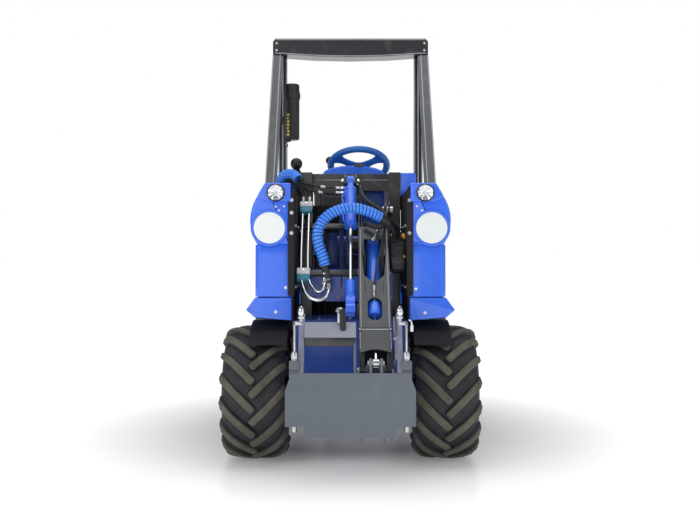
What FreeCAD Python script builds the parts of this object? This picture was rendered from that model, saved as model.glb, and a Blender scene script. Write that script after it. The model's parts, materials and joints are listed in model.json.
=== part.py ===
"""Articulated mini loader with a telescopic boom and a quick coupler.

The loader faces -Y and stands on Z = 0, and its origin is the bottom centre of its box.
All sizes are in millimetres and degrees.  Each sub-part is one object of the document whose
Label is its node's name, and each is written to parts/NODE.step.
"""

import FreeCAD, Part
import math
import os
import re

import Sketcher
from FreeCAD import Placement, Rotation, Vector

# ------------------------------------------------------------------ driving dimensions

SIZES = {
    # wheels
    "front_axle_y": -690, "rear_axle_y": 610, "tyre_radius": 286, "tyre_width": 265,
    "tyre_inner": 270, "rim_radius": 152, "lugs": 15, "lug_high": 20, "lug_wide": 38,
    # centre pivot
    "pivot_y": -40, "pivot_pin": 20, "pivot_eye": 60,
    # front chassis
    "chassis_half": 237, "chassis_wall": 12, "chassis_front": -810, "chassis_back": -288,
    "chassis_low": 250, "chassis_top": 600, "neck_half": 110, "neck_wall": 20,
    "neck_low": 270, "neck_high": 470,
    # steering cylinder, front eye and rear eye
    "steer_x": 175, "steer_front_y": -250, "steer_rear_y": 190, "steer_z": 380,
    # rear chassis
    "rear_half": 202, "rear_front": 250, "rear_step": 420, "rear_back": 1095,
    "rear_low_top": 520,
    # tower
    "upright_inner": 177, "upright_outer": 230, "upright_front": -430, "upright_back": -290,
    "tower_top": 1260, "beam_low": 1180, "beam_front": -350,
    # boom pivot, lift cylinder's top eye
    "boom_y": -510, "boom_z": 1080, "boom_pin": 20, "lift_y": -540, "lift_z": 1210,
    "lift_pin": 13, "ear_wall": 12,
    # boom, measured along it from its pivot and square to it
    "boom_x": 99, "boom_half": 65, "boom_high": 70, "boom_wall": 6, "boom_slope": 48.7,
    "outer_end": 722, "gap": 5, "collar_end": 830, "boom_length": 879,
    "inner_half": 54, "inner_high": 59, "box_start": 168, "tip_eye": 30,
    "vee_start": 245, "vee_end": 477, "slot_start": 567, "slot_end": 682, "slot_half": 28,
    # lift cylinder's lower eye, in the boom's own axes
    "lug_along": 607, "lug_up": 39, "lift_radius": 27, "lift_rod_radius": 9,
    # tilt cylinder, in the boom's own axes
    "tilt_back": 160, "tilt_back_up": -20, "tilt_barrel": 485, "tilt_along": 884, "tilt_up": 55,
    "tilt_radius": 22, "tilt_rod_radius": 9, "tilt_pin": 10,
    # auxiliary pipes
    "pipe_radius": 6.5, "pipe_outer_x": -215.5, "pipe_inner_x": -186.5, "pipe_length": 380,
    # coupler
    "face_y": -1190, "face_wall": 10, "face_half": 251, "face_foot": 171, "face_side": 215,
    "face_top": 420, "side_inner": 181, "side_outer": 203, "lock_x": 216, "lock_radius": 10,
    # pods
    "pod_front": -840, "lamp_face": -853, "pod_back": -320, "pod_inner": 250,
    "pod_low": 700, "pod_top": 1177,
    "lamp_x": 312, "lamp_z": 1135, "lamp_radius": 36, "disc_x": 340, "disc_z": 989,
    "disc_radius": 66,
    # cab
    "platform_z": 600, "platform_half": 225, "platform_back": 330, "seat_front": -70,
    "seat_half": 210, "seat_top": 965, "backrest_top": 1275, "wheel_y": -170,
    "wheel_z": 1315, "cowl_low": 1020, "wheel_x": 40, "wheel_radius": 150, "wheel_tilt": 30,
    "rops_top": 1990, "rops_low": 1910, "rops_front": 60, "rops_back": 180, "rops_half": 397,
    # rear body
    "hood_half": 300, "hood_front": 440, "hood_back": 1120, "hood_low": 614,
    "hood_top": 1005, "hood_wall": 4, "weight_front": 1095, "weight_back": 1178,
    "weight_half": 330, "weight_low": 300, "weight_top": 612,
}

doc = FreeCAD.newDocument("mini_loader")
sheet = doc.addObject("Spreadsheet::Sheet", "Sizes")
for row, (alias, number) in enumerate(SIZES.items(), start=1):
    sheet.set(f"A{row}", alias)
    sheet.set(f"B{row}", str(number))
    sheet.setAlias(f"B{row}", alias)
doc.recompute()

# ------------------------------------------------------------------ document helpers

NODES = []


def formula(text):
    """Turn a formula in plain alias names into one that reads the sheet."""
    def cell(match):
        word = match.group()
        return "Sizes." + word if word in SIZES else word
    return re.sub(r"[a-z][a-z_]*", cell, str(text))


def bind(made, **formulas):
    """Tie an object's properties to formulas over the sheet."""
    for name, text in formulas.items():
        made.setExpression(name, formula(text))


def set_base(made, x, y, z):
    """Tie an object's position to formulas over the sheet."""
    for axis, text in zip("xyz", (x, y, z)):
        made.setExpression(f"Placement.Base.{axis}", formula(text))


def block(x, y, z, length, width, height):
    """A box from its lowest corner."""
    made = doc.addObject("Part::Box", "Block")
    bind(made, Length=length, Width=width, Height=height)
    set_base(made, x, y, z)
    return made


TURNS = {
    "X": Rotation(Vector(0, 1, 0), 90),
    "Y": Rotation(Vector(1, 0, 0), -90),
    "Z": Rotation(),
}


def bar(x, y, z, radius, length, along):
    """A round bar from the centre of its first end, along X, Y or Z."""
    made = doc.addObject("Part::Cylinder", "Bar")
    made.Placement = Placement(Vector(), TURNS[along])
    bind(made, Radius=radius, Height=length)
    set_base(made, x, y, z)
    return made


def fused(*pieces):
    """One object joined from several."""
    made = doc.addObject("Part::MultiFuse", "Joined")
    made.Shapes = list(pieces)
    return made


def cut(base, *tools):
    """The base with every tool cut away."""
    made = doc.addObject("Part::Cut", "Trimmed")
    made.Base = base
    made.Tool = tools[0] if len(tools) == 1 else fused(*tools)
    return made


def together(*pieces):
    """Several solids that don't touch, kept as one node."""
    made = doc.addObject("Part::Compound", "Set")
    made.Links = list(pieces)
    return made


def mirrored(source):
    """The same piece on the other side of the loader."""
    made = doc.addObject("Part::Mirroring", "Mirrored")
    made.Source = source
    made.Base = (0, 0, 0)
    made.Normal = (1, 0, 0)
    return made


def outline_sketch(body, plane, offset, outline):
    """A closed sketch of straight lines, each corner tied to two formulas."""
    sketch = body.newObject("Sketcher::SketchObject", "Outline")
    flat = [item for item in body.Origin.OriginFeatures if item.Role == plane + "_Plane"][0]
    sketch.AttachmentSupport = (flat, [""])
    sketch.MapMode = "FlatFace"
    bind(sketch, **{"AttachmentOffset.Base.z": offset})
    count = len(outline)
    ring = [Vector(math.cos(math.tau * i / count), math.sin(math.tau * i / count), 0) * 100
            for i in range(count)]
    for i in range(count):
        sketch.addGeometry(Part.LineSegment(ring[i], ring[(i + 1) % count]))
    for i in range(count):
        sketch.addConstraint(Sketcher.Constraint("Coincident", i, 2, (i + 1) % count, 1))
    for i, corner in enumerate(outline):
        for kind, text, start in zip(("DistanceX", "DistanceY"), corner, (ring[i].x, ring[i].y)):
            index = sketch.addConstraint(Sketcher.Constraint(kind, -1, 1, i, 1, start + 0.01))
            sketch.setExpression(f"Constraints[{index}]", formula(text))
    return sketch


def plate(plane, start, thickness, outline):
    """A padded plate with its outline in plane XY, XZ or YZ, from start along the third axis."""
    body = doc.addObject("PartDesign::Body", "Plate")
    offset = f"-({start}) - ({thickness})" if plane == "XZ" else start
    sketch = outline_sketch(body, plane, offset, outline)
    pad = body.newObject("PartDesign::Pad", "Pad")
    pad.Profile = sketch
    bind(pad, Length=thickness)
    return body


def turned(outline):
    """A piece turned about X from a profile of (place along X, radius) corners."""
    body = doc.addObject("PartDesign::Body", "Turned")
    sketch = outline_sketch(body, "XY", "0", outline)
    turn = body.newObject("PartDesign::Revolution", "Revolution")
    turn.Profile = sketch
    turn.ReferenceAxis = (sketch, ["H_Axis"])
    turn.Angle = 360
    return body


def node(label, made, placement=None):
    """Name a finished sub-part, and place it if it was made in its own axes."""
    if placement is not None:
        made = together(made)
        made.Placement = placement
    made.Label = label
    NODES.append(made)
    return made


# ------------------------------------------------------------------ places

SLOPE = math.radians(SIZES["boom_slope"])


def boom_point(along, up):
    """The (Y, Z) of a point given along the boom from its pivot and square to it."""
    y = SIZES["boom_y"] - along * math.cos(SLOPE) - up * math.sin(SLOPE)
    z = SIZES["boom_z"] - along * math.sin(SLOPE) + up * math.cos(SLOPE)
    return y, z


def pointing(start, end, x):
    """Placement of a piece made forwards along -Y from its origin, set from start to end."""
    angle = math.degrees(math.atan2(start[1] - end[1], start[0] - end[0]))
    return Placement(Vector(x, *start), Rotation(Vector(1, 0, 0), angle))


IN_BOOM = Placement(Vector(0, SIZES["boom_y"], SIZES["boom_z"]),
                    Rotation(Vector(1, 0, 0), SIZES["boom_slope"]))
LIFT_TOP = (SIZES["lift_y"], SIZES["lift_z"])
LIFT_FOOT = boom_point(SIZES["lug_along"], SIZES["lug_up"])
TILT_BACK = boom_point(SIZES["tilt_back"], SIZES["tilt_back_up"])
TILT_TIP = boom_point(SIZES["tilt_along"], SIZES["tilt_up"])
MAIN_PIN = boom_point(SIZES["boom_length"], 0)
LIFT_LENGTH = math.dist(LIFT_TOP, LIFT_FOOT)
TILT_LENGTH = math.dist(TILT_BACK, TILT_TIP)


# ------------------------------------------------------------------ wheels

def wheel_point(reach, radius, turn):
    """A place on a wheel: along its axle, out from it, and turned from the front upwards."""
    angle = math.radians(turn)
    return Vector(reach, -radius * math.cos(angle), radius * math.sin(angle))


def facet(*corners):
    """A flat face between corners."""
    return Part.Face(Part.makePolygon([*corners, corners[0]]))


def banded(run, other):
    """Flat faces, two to a step, between two runs of points of the same number."""
    faces = []
    for i in range(len(run) - 1):
        for corners in ((run[i], run[i + 1], other[i + 1]), (run[i], other[i + 1], other[i])):
            if min(corners[k].distanceToPoint(corners[k - 1]) for k in range(3)) > 0.01:
                faces.append(facet(*corners))
    return faces


def turn_of(point):
    """How far a point is turned about the axle, from the front upwards."""
    return math.degrees(math.atan2(point.z, -point.y)) % 360


def stitched(run, other):
    """Flat faces between two rings of points about the axle that stand at different turns."""
    run = sorted(run, key=turn_of)
    other = sorted(other, key=turn_of)
    turns, other_turns = ([turn_of(point) for point in ring[1:]] + [turn_of(ring[0]) + 360]
                          for ring in (run, other))
    run.append(run[0])
    other.append(other[0])
    faces = []
    i = j = 0
    while i < len(turns) or j < len(other_turns):
        if j == len(other_turns) or (i < len(turns) and turns[i] <= other_turns[j]):
            faces.append(facet(run[i], run[i + 1], other[j]))
            i += 1
        else:
            faces.append(facet(run[i], other[j + 1], other[j]))
            j += 1
    return faces


def tread_half(hand, phase):
    """One side of a tyre from its middle to its bead: the carcass, with a lug standing on it at
    every pitch, swept back from the middle and run out over the shoulder. Gives the faces,
    the ring of points along the middle and the ring along the bead."""
    count = int(SIZES["lugs"])
    pitch = 360 / count
    tip = SIZES["tyre_radius"]
    ground = tip - SIZES["lug_high"]
    outside = SIZES["tyre_width"] / 2
    wide = math.degrees(SIZES["lug_wide"] / 2 / tip)
    # reach and radius on the carcass and on the lug's top, sweep, half width, slant of the end
    stations = [(12, ground, 12, tip, 0, wide, 6), (72, ground, 72, tip, 13.5, wide, 0),
                (110, ground - 9, 112, tip - 8, 21.5, wide * 0.95, 0),
                (126, ground - 30, outside, tip - 42, 24.5, wide * 0.8, 0),
                (outside - 4, tip - 68, outside - 4, tip - 68, 25, wide * 0.8, 0)]
    runs = []
    for low_reach, low, top_reach, top, sweep, half, slant in stations:
        run = []
        for i in range(count + 1):
            middle = phase + pitch * i + sweep
            for side in (-1, 1):
                turn = middle + side * half
                foot = wheel_point(hand * (low_reach - side * slant), low, turn)
                edge = wheel_point(hand * (top_reach - side * slant), top, turn)
                run.extend((foot, edge)[::-side])
        runs.append(run[:4 * count + 1])
    faces = []
    for run, other in zip(runs, runs[1:]):
        faces.extend(banded(run, other))
    for i in range(0, 4 * count, 4):
        foot, edge, far_edge, far_foot = runs[0][i:i + 4]
        faces.append(facet(foot, edge, far_edge))
        faces.append(facet(foot, far_edge, far_foot))
    middle_ring, wall = ([run[i] for i in range(4 * count + 1) if i % 4 in (0, 3)]
                         for run in (runs[0], runs[-1]))
    bead = SIZES["rim_radius"] + 3
    turns = [turn_of(point) for point in wall]
    for reach, radius in ((outside - 1, tip - 100), (outside - 14, bead)):
        ring = [wheel_point(hand * reach, radius, turn) for turn in turns]
        faces.extend(banded(wall, ring))
        wall = ring
    return faces, middle_ring[:-1], wall[:-1]


def lugged_tyre(left_phase, right_phase):
    """A tyre with a row of lugs on each side of its middle, half a pitch apart."""
    left, left_middle, left_bead = tread_half(-1, left_phase)
    right, right_middle, right_bead = tread_half(1, right_phase)
    between = stitched(left_middle, right_middle) + stitched(left_bead, right_bead)
    solid = Part.Solid(Part.Shell(left + right + between))
    if solid.Volume < 0:
        solid.reverse()
    return solid


TYRES = {-1: lugged_tyre(-8.7, 3.3), 1: lugged_tyre(-1.1, -13.1)}


def make_wheel(end, axle_y, side, sign):
    """One tyre and its rim, on the axle's hub flange."""
    half = "tyre_width / 2"
    tyre = doc.addObject("Part::Feature", "Tyre")
    tyre.Shape = TYRES[sign]
    rim = turned([
        (f"-({half}) + 6", "rim_radius + 3"),
        (f"-({half}) + 6", "rim_radius - 8"),
        ("-20", "rim_radius - 14"),
        ("-20", "34"),
        ("-12", "34"),
        ("-12", "rim_radius - 22"),
        (f"{half} - 20", "rim_radius - 10"),
        (f"{half} - 6", "rim_radius + 3"),
    ] if sign > 0 else [
        (f"{half} - 6", "rim_radius + 3"),
        (f"{half} - 6", "rim_radius - 8"),
        ("20", "rim_radius - 14"),
        ("20", "34"),
        ("12", "34"),
        ("12", "rim_radius - 22"),
        (f"-({half}) + 20", "rim_radius - 10"),
        (f"-({half}) + 6", "rim_radius + 3"),
    ])
    for label, made in (("tyre", tyre), ("rim", rim)):
        set_base(made, f"{sign} * (tyre_inner + tyre_width / 2)", axle_y, "tyre_radius")
        node(f"{label}_{end}_{side}", made)


def make_axle(label, axle_y, frame_half):
    """The two hub motors on the chassis sides, with the tube that joins them."""
    reach = f"tyre_inner + tyre_width / 2 - 20 - ({frame_half})"
    tube = bar(f"-({frame_half})", axle_y, "tyre_radius", 45, f"2 * ({frame_half})", "X")
    pieces = [tube]
    for sign in (-1, 1):
        start = frame_half if sign > 0 else f"-({frame_half}) - ({reach}) + 12"
        pieces.append(bar(start, axle_y, "tyre_radius", 62, f"{reach} - 12", "X"))
        flange = "tyre_inner + tyre_width / 2 - 32.5"
        start = flange if sign > 0 else f"-({flange}) - 12"
        pieces.append(bar(start, axle_y, "tyre_radius", 95, 12, "X"))
    node(label, fused(*pieces))


# ------------------------------------------------------------------ front frame

def make_front_chassis():
    """Welded box between the front wheels, with the pivot's two tongues behind it."""
    inside = "chassis_half - chassis_wall"
    side = [("chassis_front", "chassis_low"), ("chassis_front", "chassis_top"),
            ("chassis_back", "chassis_top"), ("chassis_back", "chassis_low")]
    depth = "chassis_back - chassis_front"
    shell = fused(
        plate("YZ", f"-(chassis_half)", "chassis_wall", side),
        plate("YZ", inside, "chassis_wall", side),
        block(f"-({inside})", "chassis_front", "chassis_low", f"2 * ({inside})",
              "chassis_wall", "chassis_top - chassis_low"),
        block(f"-({inside})", "chassis_back - chassis_wall", "chassis_low", f"2 * ({inside})",
              "chassis_wall", "chassis_top - chassis_low"),
        block(f"-({inside})", "chassis_front", "chassis_low", f"2 * ({inside})", depth, 8),
        block(f"-({inside})", "chassis_front", "chassis_top - 8", f"2 * ({inside})", depth, 8),
    )
    tongues = []
    for low in ("neck_low", "neck_high"):
        tongues.append(plate("XY", low, "neck_wall", [
            ("-(neck_half)", "chassis_back"), ("neck_half", "chassis_back"),
            ("pivot_eye", "pivot_y"), ("-(pivot_eye)", "pivot_y")]))
        tongues.append(bar(0, "pivot_y", low, "pivot_eye", "neck_wall", "Z"))
    ears = []
    for low in ("steer_z - 40", "steer_z + 30"):
        ears.append(block("steer_x - 24", "chassis_back", low, 48,
                          "steer_front_y - chassis_back + 14", 10))
    frame = fused(shell, *tongues, *ears)
    bore = bar(0, "pivot_y", "chassis_low", "pivot_pin", 300, "Z")
    axle_bore = bar("-(chassis_half)", "front_axle_y", "tyre_radius", 45,
                    "2 * chassis_half", "X")
    node("front_chassis", cut(frame, bore, axle_bore))


def make_pivot_pin():
    """The upright pin of the centre joint, with its head."""
    pin = bar(0, "pivot_y", "neck_low - 12", "pivot_pin - 0.3",
              "neck_high + neck_wall - neck_low + 12", "Z")
    head = bar(0, "pivot_y", "neck_high + neck_wall", "pivot_pin + 8", 10, "Z")
    node("pivot_pin", fused(pin, head))


def make_tower():
    """Two uprights, the beam across their tops and the plates that carry boom and cylinder."""
    height = "tower_top - chassis_top"
    depth = "upright_back - upright_front"
    wide = "upright_outer - upright_inner"
    frame = [block("-(upright_outer)", "upright_front", "chassis_top", wide, depth, height),
             block("upright_inner", "upright_front", "chassis_top", wide, depth, height),
             block("-(upright_inner)", "beam_front", "beam_low", "2 * upright_inner",
                   "upright_back - beam_front", "tower_top - beam_low")]
    for start in ("-29", "17"):
        frame.append(plate("YZ", start, "ear_wall", [
            ("lift_y", "lift_z - 28"), ("lift_y", "lift_z + 28"), ("beam_front", "tower_top"),
            ("beam_front", "beam_low - 30")]))
        frame.append(bar(start, "lift_y", "lift_z", 28, "ear_wall", "X"))
    for start, thickness in (("17", "ear_wall"), ("upright_inner - 7", 7)):
        frame.append(plate("YZ", start, thickness, [
            ("boom_y", "boom_z - 44"), ("boom_y + 2", "boom_z + 44"),
            ("beam_front + 8", "beam_low + 10"), ("beam_front + 8", "boom_z - 60")]))
        frame.append(bar(start, "boom_y", "boom_z", 44, thickness, "X"))
    frame.append(block(17, "beam_front", "boom_z - 60", "ear_wall",
                       "upright_back - beam_front - 20", "beam_low - boom_z + 70"))
    for low, reach in ((760, "pod_inner - 5"), (1090, "pod_inner")):
        for start in (f"-({reach})", "upright_inner"):
            frame.append(block(start, "upright_front + 20", low, f"{reach} - upright_inner",
                               80, 60))
    pin_hole = bar(0, "boom_y", "boom_z", "boom_pin", "upright_inner + 20", "X")
    lift_hole = bar(-40, "lift_y", "lift_z", "lift_pin", 80, "X")
    node("tower", cut(fused(*frame), pin_hole, lift_hole))


def make_footwell_panel():
    """Sheet across the uprights, in front of the operator's feet."""
    half = "upright_inner + 20"
    node("footwell_panel", block(f"-({half})", "upright_front - 6", 665, f"2 * ({half})", 6, 148))


def make_boom_pins():
    """The boom's two hinge pins and the lift cylinder's top pin, kept in the tower."""
    hinge = bar(11, "boom_y", "boom_z", "boom_pin - 0.3", 43, "X")
    far_hinge = bar(144, "boom_y", "boom_z", "boom_pin - 0.3", "upright_inner - 129", "X")
    top = bar(-34, "lift_y", "lift_z", "lift_pin - 0.3", 66, "X")
    node("boom_pins", together(hinge, far_hinge, top))


def make_pods():
    """The two rounded fender pods, each with a lamp block that stands out over a round-sided
    panel, a lower panel and a ledge over the tyre."""
    depth = "pod_back - pod_front"
    side = [(232 + 189 * math.cos(math.radians(turn)), 1020 + 189 * math.sin(math.radians(turn)))
            for turn in range(-33, 34, 11)]
    upper = plate("XZ", "pod_front", depth, [
        ("pod_inner", "pod_low + 218"), *side, (358, "pod_top"), ("pod_inner", "pod_top")])
    lamp_block = plate("XZ", "lamp_face", f"{depth} + pod_front - lamp_face", [
        ("pod_inner", 1096), (345, 1096), (372, 1104), side[-1], (358, "pod_top"),
        ("pod_inner", "pod_top")])
    lower = plate("XZ", "pod_front", depth, [
        ("pod_inner - 5", "pod_low"), (400, "pod_low"), (400, "pod_low + 218"),
        ("pod_inner", "pod_low + 218")])
    ledge = plate("XZ", "pod_front + 10", f"{depth} - 20", [
        ("pod_inner - 4", "pod_low - 100"), (400, "pod_low - 88"), (439, "pod_low - 55"),
        (402, "pod_low - 12"), (402, "pod_low"), ("pod_inner - 4", "pod_low")])
    right = fused(upper, lamp_block, lower, ledge)
    node("pod_right", right)
    node("pod_left", mirrored(right))


def make_mudguards():
    """Black arched sheets under the pods."""
    outer = bar(262, "front_axle_y", "tyre_radius", 309, 158, "X")
    inner = bar(260, "front_axle_y", "tyre_radius", 305, 162, "X")
    keep = block(262, "front_axle_y - 215", "tyre_radius + 150", 158, 430, 200)
    sheet_shape = doc.addObject("Part::Common", "Arch")
    sheet_shape.Base = cut(outer, inner)
    sheet_shape.Tool = keep
    arms = block("chassis_half", "front_axle_y - 20", 592, "262 - chassis_half + 10", 40, 3)
    right = fused(sheet_shape, arms)
    node("mudguards", together(right, mirrored(right)))


def make_lamps_and_discs():
    """Head lamps in the pods' shoulders and round white panels below them."""
    lamps = []
    discs = []
    for sign in (-1, 1):
        lamps.append(bar(f"{sign} * lamp_x", "lamp_face - 8", "lamp_z", "lamp_radius", 8, "Y"))
        discs.append(bar(f"{sign} * disc_x", "pod_front - 3", "disc_z", "disc_radius", 3, "Y"))
    node("headlamps", together(*lamps))
    node("round_panels", together(*discs))


# ------------------------------------------------------------------ operator's place

def make_platform():
    """Floor plate behind the tower, over the centre joint, with rails and the post foot."""
    front = "chassis_back - 2"
    depth = f"platform_back - ({front})"
    pieces = [block("-(platform_half)", front, "platform_z", "2 * platform_half", depth, 8)]
    for start in ("-(platform_half)", "platform_half - 50"):
        pieces.append(block(start, "chassis_back", "platform_z - 45", 50,
                            "platform_back - chassis_back", 45))
    pieces.append(block("-388", 110, "platform_z - 40", 776, 70, 40))
    node("platform", fused(*pieces))


def make_seat():
    """Seat box, cushion and low backrest."""
    node("seat_base", block("-190", "seat_front + 10", "platform_z + 8", 380, 350, 277))
    cushion = block("-(seat_half)", "seat_front", "seat_top - 80", "2 * seat_half", 360, 80)
    node("seat_cushion", cushion)
    back = block("-(seat_half)", "seat_front + 292", "seat_top + 3", "2 * seat_half", 78,
                 "backrest_top - seat_top - 3")
    node("seat_backrest", back)


def make_dash():
    """Cowl behind the tower's beam, with its lower part on the right, the steering column and
    the steering wheel."""
    cowl = fused(
        plate("YZ", -135, 298, [("upright_back", 1185), ("upright_back", 1268), (-255, 1312),
                                (-215, 1290), (-205, 1185)]),
        plate("YZ", 50, 113, [("upright_back", "cowl_low"), ("upright_back", 1185),
                              (-205, 1185), (-205, 1160), (-240, "cowl_low")]))
    tilt = Rotation(Vector(1, 0, 0), -SIZES["wheel_tilt"])
    column = doc.addObject("Part::Cylinder", "Column")
    bind(column, Radius=22, Height=108)
    hub_place = Vector(SIZES["wheel_x"], SIZES["wheel_y"], SIZES["wheel_z"])
    column.Placement = Placement(hub_place - tilt.multVec(Vector(0, 0, 130)), tilt)
    node("dash_cowl", cut(cowl, column))
    node("steering_column", column)
    rim = doc.addObject("Part::Torus", "WheelRim")
    bind(rim, Radius1="wheel_radius", Radius2=14)
    spokes = [bar(0, 0, -16, 28, 22, "Z")]
    for turn in (90, 210, 330):
        arm = together(block(0, -12, -5, "wheel_radius", 24, 8))
        arm.Placement = Placement(Vector(), Rotation(Vector(0, 0, 1), turn))
        spokes.append(arm)
    knob = bar("-wheel_radius", 0, 8, 20, 42, "Z")
    node("steering_wheel", fused(rim, knob, *spokes), Placement(hub_place, tilt))


def make_console():
    """Lever console beside the operator's right knee, with its joystick."""
    box = block(-312, -260, 1130, 100, 130, 135)
    arm = block(-262, "upright_back", 1190, 40, 40, 40)
    node("side_console", fused(box, arm))
    stem = bar(-262, -200, 1265, 7, 45, "Z")
    grip = doc.addObject("Part::Sphere", "Grip")
    bind(grip, Radius=28)
    set_base(grip, -262, -200, 1324)
    node("joystick", fused(stem, grip))


def make_rops():
    """Roll bar: two raked front posts, two rear posts and the beam over them, its underside
    bowed."""
    half = "rops_half"
    node("rops_beam", plate("XZ", "rops_front", "rops_back - rops_front", [
        (f"-({half})", "rops_low"), (-328, "rops_low"), (-190, "rops_low - 10"),
        (0, "rops_low - 14"), (190, "rops_low - 10"), (328, "rops_low"), (half, "rops_low"),
        (half, "rops_top - 16"), (f"{half} - 14", "rops_top"), (f"-({half}) + 14", "rops_top"),
        (f"-({half})", "rops_top - 16")]))
    front = plate("YZ", "rops_half - 40", 40, [
        (-400, "pod_top"), (-328, "pod_top"), ("rops_front + 65", "rops_low"),
        ("rops_front + 4", "rops_low")])
    rear = plate("YZ", 330, 42, [
        (112, "platform_z"), (178, "platform_z"), ("rops_back", "rops_low"),
        ("rops_back - 48", "rops_low")])
    node("rops_front_posts", together(front, mirrored(front)))
    node("rops_rear_posts", together(rear, mirrored(rear)))


def make_canister():
    """Document canister with its cap's band, clamped to the left rear post."""
    body = bar(-298, 40, 1468, 38, 283, "Z")
    band = bar(-298, 40, 1680, 41, 30, "Z")
    clamp = block(-352, 60, 1560, 34, 66.65, 30)
    node("canister", fused(body, band, clamp))


# ------------------------------------------------------------------ boom

def make_boom_outer():
    """Box boom with a vee opening and a slot in its top, hung from two cheeks at its heel."""
    left = "boom_x - boom_half"
    wide = "2 * boom_half"
    box = block(left, "-(outer_end)", "-(boom_high)", wide, "outer_end - box_start",
                "2 * boom_high")
    cheeks = []
    for start, boss_start in (("boom_x - boom_half", "boom_x - boom_half"),
                              ("boom_x + boom_half - boom_wall", "boom_x + boom_half - 14")):
        cheeks.append(plate("YZ", start, "boom_wall", [
            (0, -50), (0, 50), ("-(box_start)", "boom_high"), ("-(box_start)", "-(boom_high)")]))
        cheeks.append(bar(start, 0, 0, 50, "boom_wall", "X"))
        cheeks.append(bar(boss_start, 0, 0, 36, 14, "X"))
    inside = block(f"{left} + boom_wall", "-(outer_end) - 10", "-(boom_high) + boom_wall",
                   f"{wide} - 2 * boom_wall", "outer_end",
                   "2 * boom_high - 2 * boom_wall")
    vee = plate("XY", "boom_high - boom_wall - 4", "boom_wall + 8", [
        ("boom_x - 42", "-(vee_start)"), ("boom_x + 42", "-(vee_start)"),
        ("boom_x + 10", "-(vee_end) + 12"), ("boom_x + 6", "-(vee_end) + 3"),
        ("boom_x", "-(vee_end)"), ("boom_x - 6", "-(vee_end) + 3"),
        ("boom_x - 10", "-(vee_end) + 12")])
    low = "boom_high - boom_wall - 4"
    slot = fused(
        block("boom_x - slot_half", "-(slot_end) + slot_half", low, "2 * slot_half",
              "slot_end - slot_start - 2 * slot_half", "boom_wall + 8"),
        bar("boom_x", "-(slot_end) + slot_half", low, "slot_half", "boom_wall + 8", "Z"),
        bar("boom_x", "-(slot_start) - slot_half", low, "slot_half", "boom_wall + 8", "Z"))
    boss = bar(f"{left} - 8", "-(lug_along)", "lug_up", 28, 8, "X")
    arms = []
    for along in (62, 340):
        arms.append(block("pipe_outer_x - 14", f"-{along} - 15", -47,
                          f"{left} - pipe_outer_x + 20", 30, 12))
        for x in ("pipe_outer_x", "pipe_inner_x"):
            arms.append(block(f"{x} - 11", f"-{along} - 15", -40, 22, 30, "40 - pipe_radius + 1"))
    arms.append(block("pipe_outer_x - 14", -77, -47, "pipe_inner_x - pipe_outer_x + 28", 97, 12))
    hole = bar(f"{left} - 5", 0, 0, "boom_pin", f"{wide} + 10", "X")
    pipe_room = fused(*[bar(x, "-(pipe_length)", 0, "pipe_radius", "pipe_length", "Y")
                        for x in ("pipe_outer_x", "pipe_inner_x")])
    shell = cut(box, inside, vee, slot)
    node("boom_outer", cut(fused(shell, *cheeks, boss, *arms), hole, pipe_room), IN_BOOM)


PIPE_OUTER = [(-215.5, -30, 0), (-215.5, 400, 0), (-186, 512, 12), (-133, 549, 22),
              (-95, 528, 28), (-89, 475, 30)]
PIPE_INNER = [(-186.5, -30, 0), (-186.5, 400, 0), (-154, 481, 14), (-129, 500, 22),
              (-111, 484, 28), (-108, 444, 30)]
AUX_HOSE = [(-108, 384, 58), (-118, 350, 84), (-135, 317, 112), (-142, 284, 138),
            (-133, 250, 161), (-110, 222, 180), (-75, 199, 192), (-35, 184, 198),
            (8, 178, 199), (50, 182, 192), (92, 190, 179), (130, 200, 160),
            (163, 208, 134), (188, 213, 103), (203, 216, 60)]
SLOT_HOSE = [(188, 192, 45), (186, 164, 58), (175, 151, 80), (160, 163, 98), (150, 198, 105),
             (142, 246, 102), (133, 300, 96), (122, 356, 90), (111, 412, 88), (102, 468, 89),
             (97, 522, 88)]
SUPPLY_HOSE = [(-333, -362, 1177), (-333, -362, 1212), (-319, -383, 1244), (-288, -411, 1258),
               (-258, -441, 1249), (-236, -472, 1223)]


def in_boom_axes(route):
    """Route points (across, along, up) of the boom as points of its own axes."""
    return [(across, -along, up) for across, along, up in route]


def tube(route, radius):
    """A tube along straight runs joined by tangent arcs as wide as their two runs allow."""
    points = [Vector(*point) for point in route]
    edges = []
    start = points[0]
    tightest = math.inf
    for before, corner, after in zip(points, points[1:], points[2:]):
        inward = (corner - before).normalize()
        outward = (after - corner).normalize()
        half_turn = inward.getAngle(outward) / 2
        reach = 0.45 * min(before.distanceToPoint(corner), corner.distanceToPoint(after))
        bend = reach / math.tan(half_turn)
        tightest = min(tightest, bend)
        to_centre = (outward - inward).normalize()
        first = corner - inward * reach
        middle = corner + to_centre * (bend / math.cos(half_turn) - bend)
        last = corner + outward * reach
        edges.append(Part.LineSegment(start, first).toShape())
        edges.append(Part.Arc(first, middle, last).toShape())
        start = last
    edges.append(Part.LineSegment(start, points[-1]).toShape())
    path = Part.Wire(edges)
    ring = Part.Circle(points[0], points[1] - points[0], radius).toShape()
    shape = path.makePipeShell([Part.Wire([ring])], True, False)
    print("tube", round(path.Length), "mm, tightest bend", round(tightest), "mm, volume against",
          "section times length", round(shape.Volume / (math.pi * radius ** 2 * path.Length), 3))
    made = doc.addObject("Part::Feature", "Tube")
    made.Shape = shape
    return made


def rod(start, end, radius):
    """A round bar from one point to another."""
    first, last = Vector(*start), Vector(*end)
    made = doc.addObject("Part::Cylinder", "Rod")
    made.Radius = radius
    made.Height = first.distanceToPoint(last)
    made.Placement = Placement(first, Rotation(Vector(0, 0, 1), last - first))
    return made


def coupling_body():
    """The multi-coupling's housing."""
    return block("boom_x + boom_half", -247, 8, 76, 57, 60)


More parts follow.
